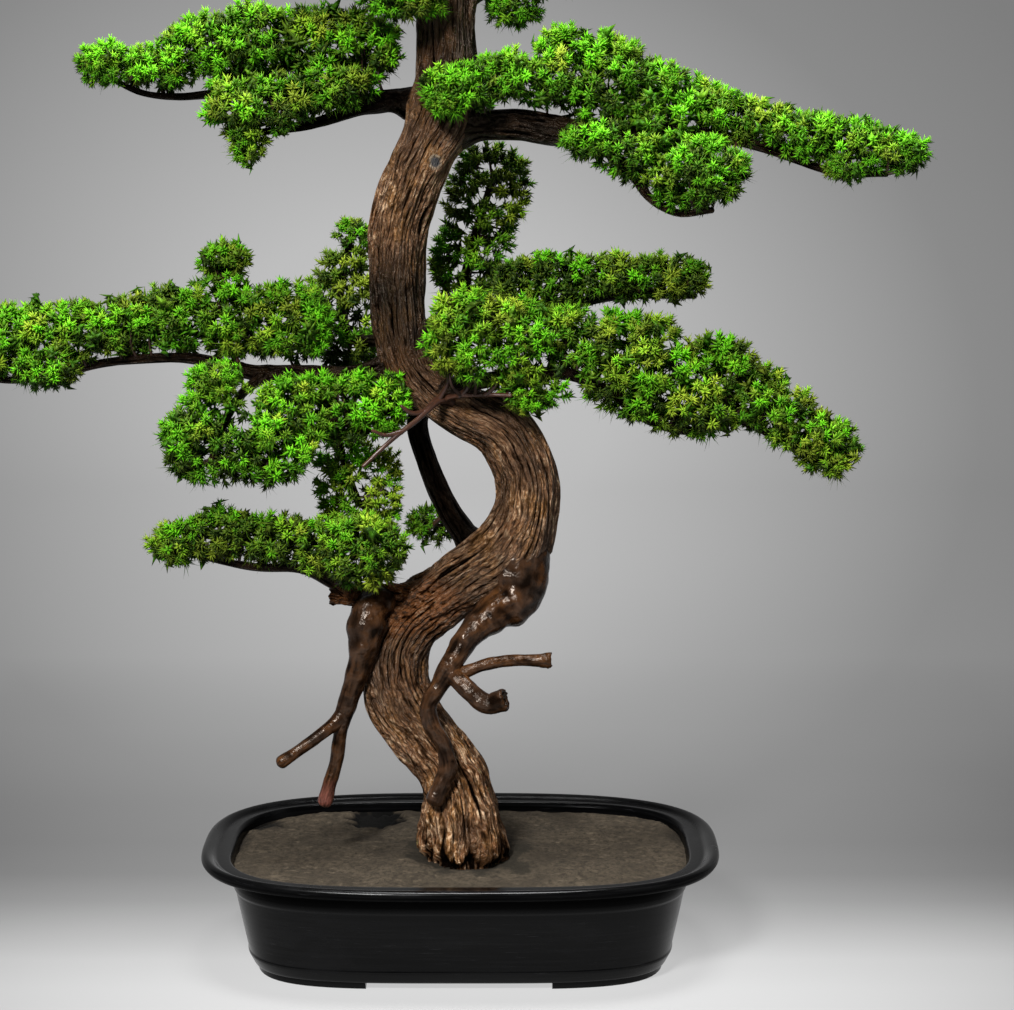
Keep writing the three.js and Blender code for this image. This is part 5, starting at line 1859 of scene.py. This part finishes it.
# The paper's greys, which paint the lamps' light and its fall-off: along the floor, from the front to the
# back, then outwards from the middle line, and on the wall outwards from the painted glow
FLOOR_GREYS = (
    (0.0, 0.61), (0.12, 0.68), (0.176, 0.665), (0.24, 0.519), (0.304, 0.358), (0.368, 0.267), (0.448, 0.236),
    (0.56, 0.239), (0.68, 0.273), (0.8, 0.294), (1.0, 0.266),
)
SIDE_GREYS = ((0.0, 1.0), (0.2, 0.462), (0.4, 0.55), (1.0, 0.8))
WALL_GREYS = ((0.0, 0.567), (0.25, 0.526), (0.5, 0.393), (0.75, 0.264), (1.0, 0.218))
# The glow keeps its shape at one distance from a spot, and is drawn out in measure with the distance.
# Then its middle, across and up, how much faster it fades up than across, and how it leans
GLOW_FROM = (0.037, -2.2, 0.712)
GLOW_DISTANCE = 3.5
GLOW_MIDDLE = (-0.024, 0.362, 0.0)
GLOW_RISE = 1.173
GLOW_LEAN = 0.121
GLOW_REACH = 0.93
# How much of the paper's brightness comes from the lamps, the rest being painted light that the paper gives
# off itself, and how bright that rest is
PAPER_LIT = 0.3
PAPER_GLOW = 1.15
# The sheet in metres: half its width, its front edge, where it starts to curve up, that curve's
# radius, and how far it goes on upwards
PAPER_SIDE = 4.0
PAPER_FRONT = -3.5
PAPER_BEND = 2.45
PAPER_RADIUS = 0.55
PAPER_WALL = 3.5
# The camera: the picture's width and the lens in pixels, the sensor's width in millimetres, where it
# stands and how far it looks down
PICTURE_WIDTH = 1014
LENS_PIXELS = 2830
SENSOR = 36
CAMERA_PLACE = (37 * MM + TREE_SHIFT[0], -2.2, 0.712)
CAMERA_DOWN = 9.04
# Where the lights point, and each one's size and place
AIM = (0.02, 0.0, 0.45)
LIGHTS = {
    "key": (0.6, (-0.75, -2.15, 1.95)),
    "fill": (1.6, (1.9, -1.4, 0.9)),
    "top": (0.9, (0.1, -0.1, 2.3)),
}


class BONSAI_OT_make_stage(bpy.types.Operator):
    """Set up the pale sweep, the soft studio lights and the camera"""

    bl_idname = "bonsai.make_stage"
    bl_label = "Stage"

    def execute(self, context):
        settings = context.scene.bonsai_stage
        self.camera(context)
        self.sweep()
        world = bpy.data.worlds.new("studio_air")
        world.use_nodes = True
        air = world.node_tree.nodes["Background"]
        air.inputs["Color"].default_value = (1, 1, 1, 1)
        air.inputs["Strength"].default_value = settings.air
        context.scene.world = world
        for name, (size, place) in LIGHTS.items():
            self.light(name, getattr(settings, name), size, place)
        return {"FINISHED"}

    def camera(self, context):
        lens = bpy.data.cameras.new("camera")
        lens.sensor_fit = "HORIZONTAL"
        lens.sensor_width = SENSOR
        lens.lens = LENS_PIXELS / PICTURE_WIDTH * SENSOR
        lens.clip_start, lens.clip_end = 0.05, 50
        camera = bpy.data.objects.new("camera", lens)
        camera.location = CAMERA_PLACE
        camera.rotation_euler = (math.radians(90 - CAMERA_DOWN), 0, 0)
        context.scene.collection.objects.link(camera)
        context.scene.camera = camera
        context.scene.view_settings.view_transform = "Standard"

    def light(self, name, power, size, place):
        data = bpy.data.lights.new(name, "AREA")
        data.shape, data.size, data.energy = "DISK", size, power
        lamp = bpy.data.objects.new(name, data)
        lamp.location = place
        lamp.rotation_euler = (Vector(AIM) - Vector(place)).to_track_quat("-Z", "Y").to_euler()
        bpy.context.scene.collection.objects.link(lamp)

    def sweep(self):
        """Paper that lies under the pot and curves up behind it"""
        deselect_all()
        bpy.ops.mesh.primitive_plane_add(size=1)
        sheet = bpy.context.object
        sheet.name = "paper_sweep"
        bpy.ops.object.mode_set(mode="EDIT")
        mesh = bmesh.from_edit_mesh(sheet.data)
        for vert in mesh.verts:
            vert.co.x = math.copysign(PAPER_SIDE, vert.co.x)
            vert.co.y = PAPER_BEND if vert.co.y > 0 else PAPER_FRONT
        bpy.ops.mesh.select_mode(type="EDGE")
        bpy.ops.mesh.select_all(action="DESELECT")
        mesh = bmesh.from_edit_mesh(sheet.data)
        for edge in mesh.edges:
            edge.select = all(vert.co.y > 0 for vert in edge.verts)
        bmesh.update_edit_mesh(sheet.data)
        turns = np.linspace(0, math.pi / 2, 25)
        for a, b in zip(turns, turns[1:]):
            back, up = PAPER_RADIUS * (math.sin(b) - math.sin(a)), PAPER_RADIUS * (math.cos(a) - math.cos(b))
            bpy.ops.mesh.extrude_edges_move(TRANSFORM_OT_translate={"value": (0, back, up)})
        bpy.ops.mesh.extrude_edges_move(TRANSFORM_OT_translate={"value": (0, 0, PAPER_WALL)})
        bpy.ops.object.mode_set(mode="OBJECT")
        bpy.ops.object.shade_smooth()
        sheet.data.materials.append(self.paper())
        sheet.visible_diffuse = False

    def paper(self):
        """Grey paper with painted light: paler towards the front, a painted glow on the wall, and most of its
        brightness given off by itself
        """
        shader = Shader("studio_paper")
        parts = shader.add("ShaderNodeSeparateXYZ", {"Vector": shader.place()})
        across, back, up = parts.outputs
        aside = shader.minus(across, 0.037)
        edge = shader.greys(shader.spread(shader.times(aside, aside), 0.0, 1.5), SIDE_GREYS)
        floor = shader.mix(1.0, shader.greys(shader.spread(back, -0.25, 1.0), FLOOR_GREYS), edge, "MULTIPLY")
        share = shader.over(GLOW_DISTANCE, shader.minus(back, GLOW_FROM[1]))
        level = shader.plus(shader.times(shader.minus(up, GLOW_FROM[2]), share), GLOW_FROM[2])
        slant = shader.plus(shader.times(shader.minus(across, GLOW_FROM[0]), share), GLOW_FROM[0])
        slant = shader.plus(slant, shader.times(level, GLOW_LEAN))
        spot = shader.add("ShaderNodeCombineXYZ", {0: slant, 1: shader.times(level, GLOW_RISE)}).outputs[0]
        away = shader.add("ShaderNodeVectorMath", {0: spot, 1: GLOW_MIDDLE}, operation="DISTANCE")
        wall = shader.greys(shader.spread(away.outputs["Value"], 0.0, GLOW_REACH), WALL_GREYS)
        body = shader.mix(shader.spread(back, 0.15, 1.12), floor, wall)
        lit = shader.mix(1.0, body, (PAPER_LIT,) * 3, "MULTIPLY")
        shader.set(Base_Color=lit, Roughness=0.95, Specular_IOR_Level=0.1)
        # The paper gives off light of its own, though it is no lamp: painted light
        shader.set(Emission_Color=body, Emission_Strength=PAPER_GLOW * (1 - PAPER_LIT))
        return shader.material


# Panel and registration


class BONSAI_PT_parts(bpy.types.Panel):
    """The pieces of the bonsai, each with its settings"""

    bl_idname = "BONSAI_PT_parts"
    bl_label = "Myrtle bonsai"
    bl_space_type = "VIEW_3D"
    bl_region_type = "UI"
    bl_category = "Bonsai"

    def draw(self, context):
        layout = self.layout
        for group_name, group in SETTINGS.items():
            box = layout.box()
            box.label(text=group_name.removeprefix("bonsai_").capitalize())
            for name in group.__annotations__:
                box.prop(getattr(context.scene, group_name), name)
        for operator in PIECES:
            layout.operator(operator.bl_idname)


PIECES = (
    BONSAI_OT_make_stage,
    BONSAI_OT_make_pot,
    BONSAI_OT_make_soil,
    BONSAI_OT_make_trunk,
    BONSAI_OT_make_limbs,
    BONSAI_OT_make_roots,
    BONSAI_OT_make_twigs,
    BONSAI_OT_make_sprays,
)
CLASSES = (*SETTINGS.values(), *PIECES, BONSAI_PT_parts)


def register():
    for item in CLASSES:
        bpy.utils.register_class(item)
    for name, group in SETTINGS.items():
        setattr(bpy.types.Scene, name, PointerProperty(type=group))


def unregister():
    for name in SETTINGS:
        delattr(bpy.types.Scene, name)
    for item in reversed(CLASSES):
        bpy.utils.unregister_class(item)


def main():
    register()
    bpy.ops.bonsai.make_stage()
    bpy.ops.bonsai.make_pot()
    bpy.ops.bonsai.make_soil()
    bpy.ops.bonsai.make_trunk()
    bpy.ops.bonsai.make_limbs()
    bpy.ops.bonsai.make_roots()
    bpy.ops.bonsai.make_twigs()
    bpy.ops.bonsai.make_sprays()


if __name__ == "__main__":
    main()
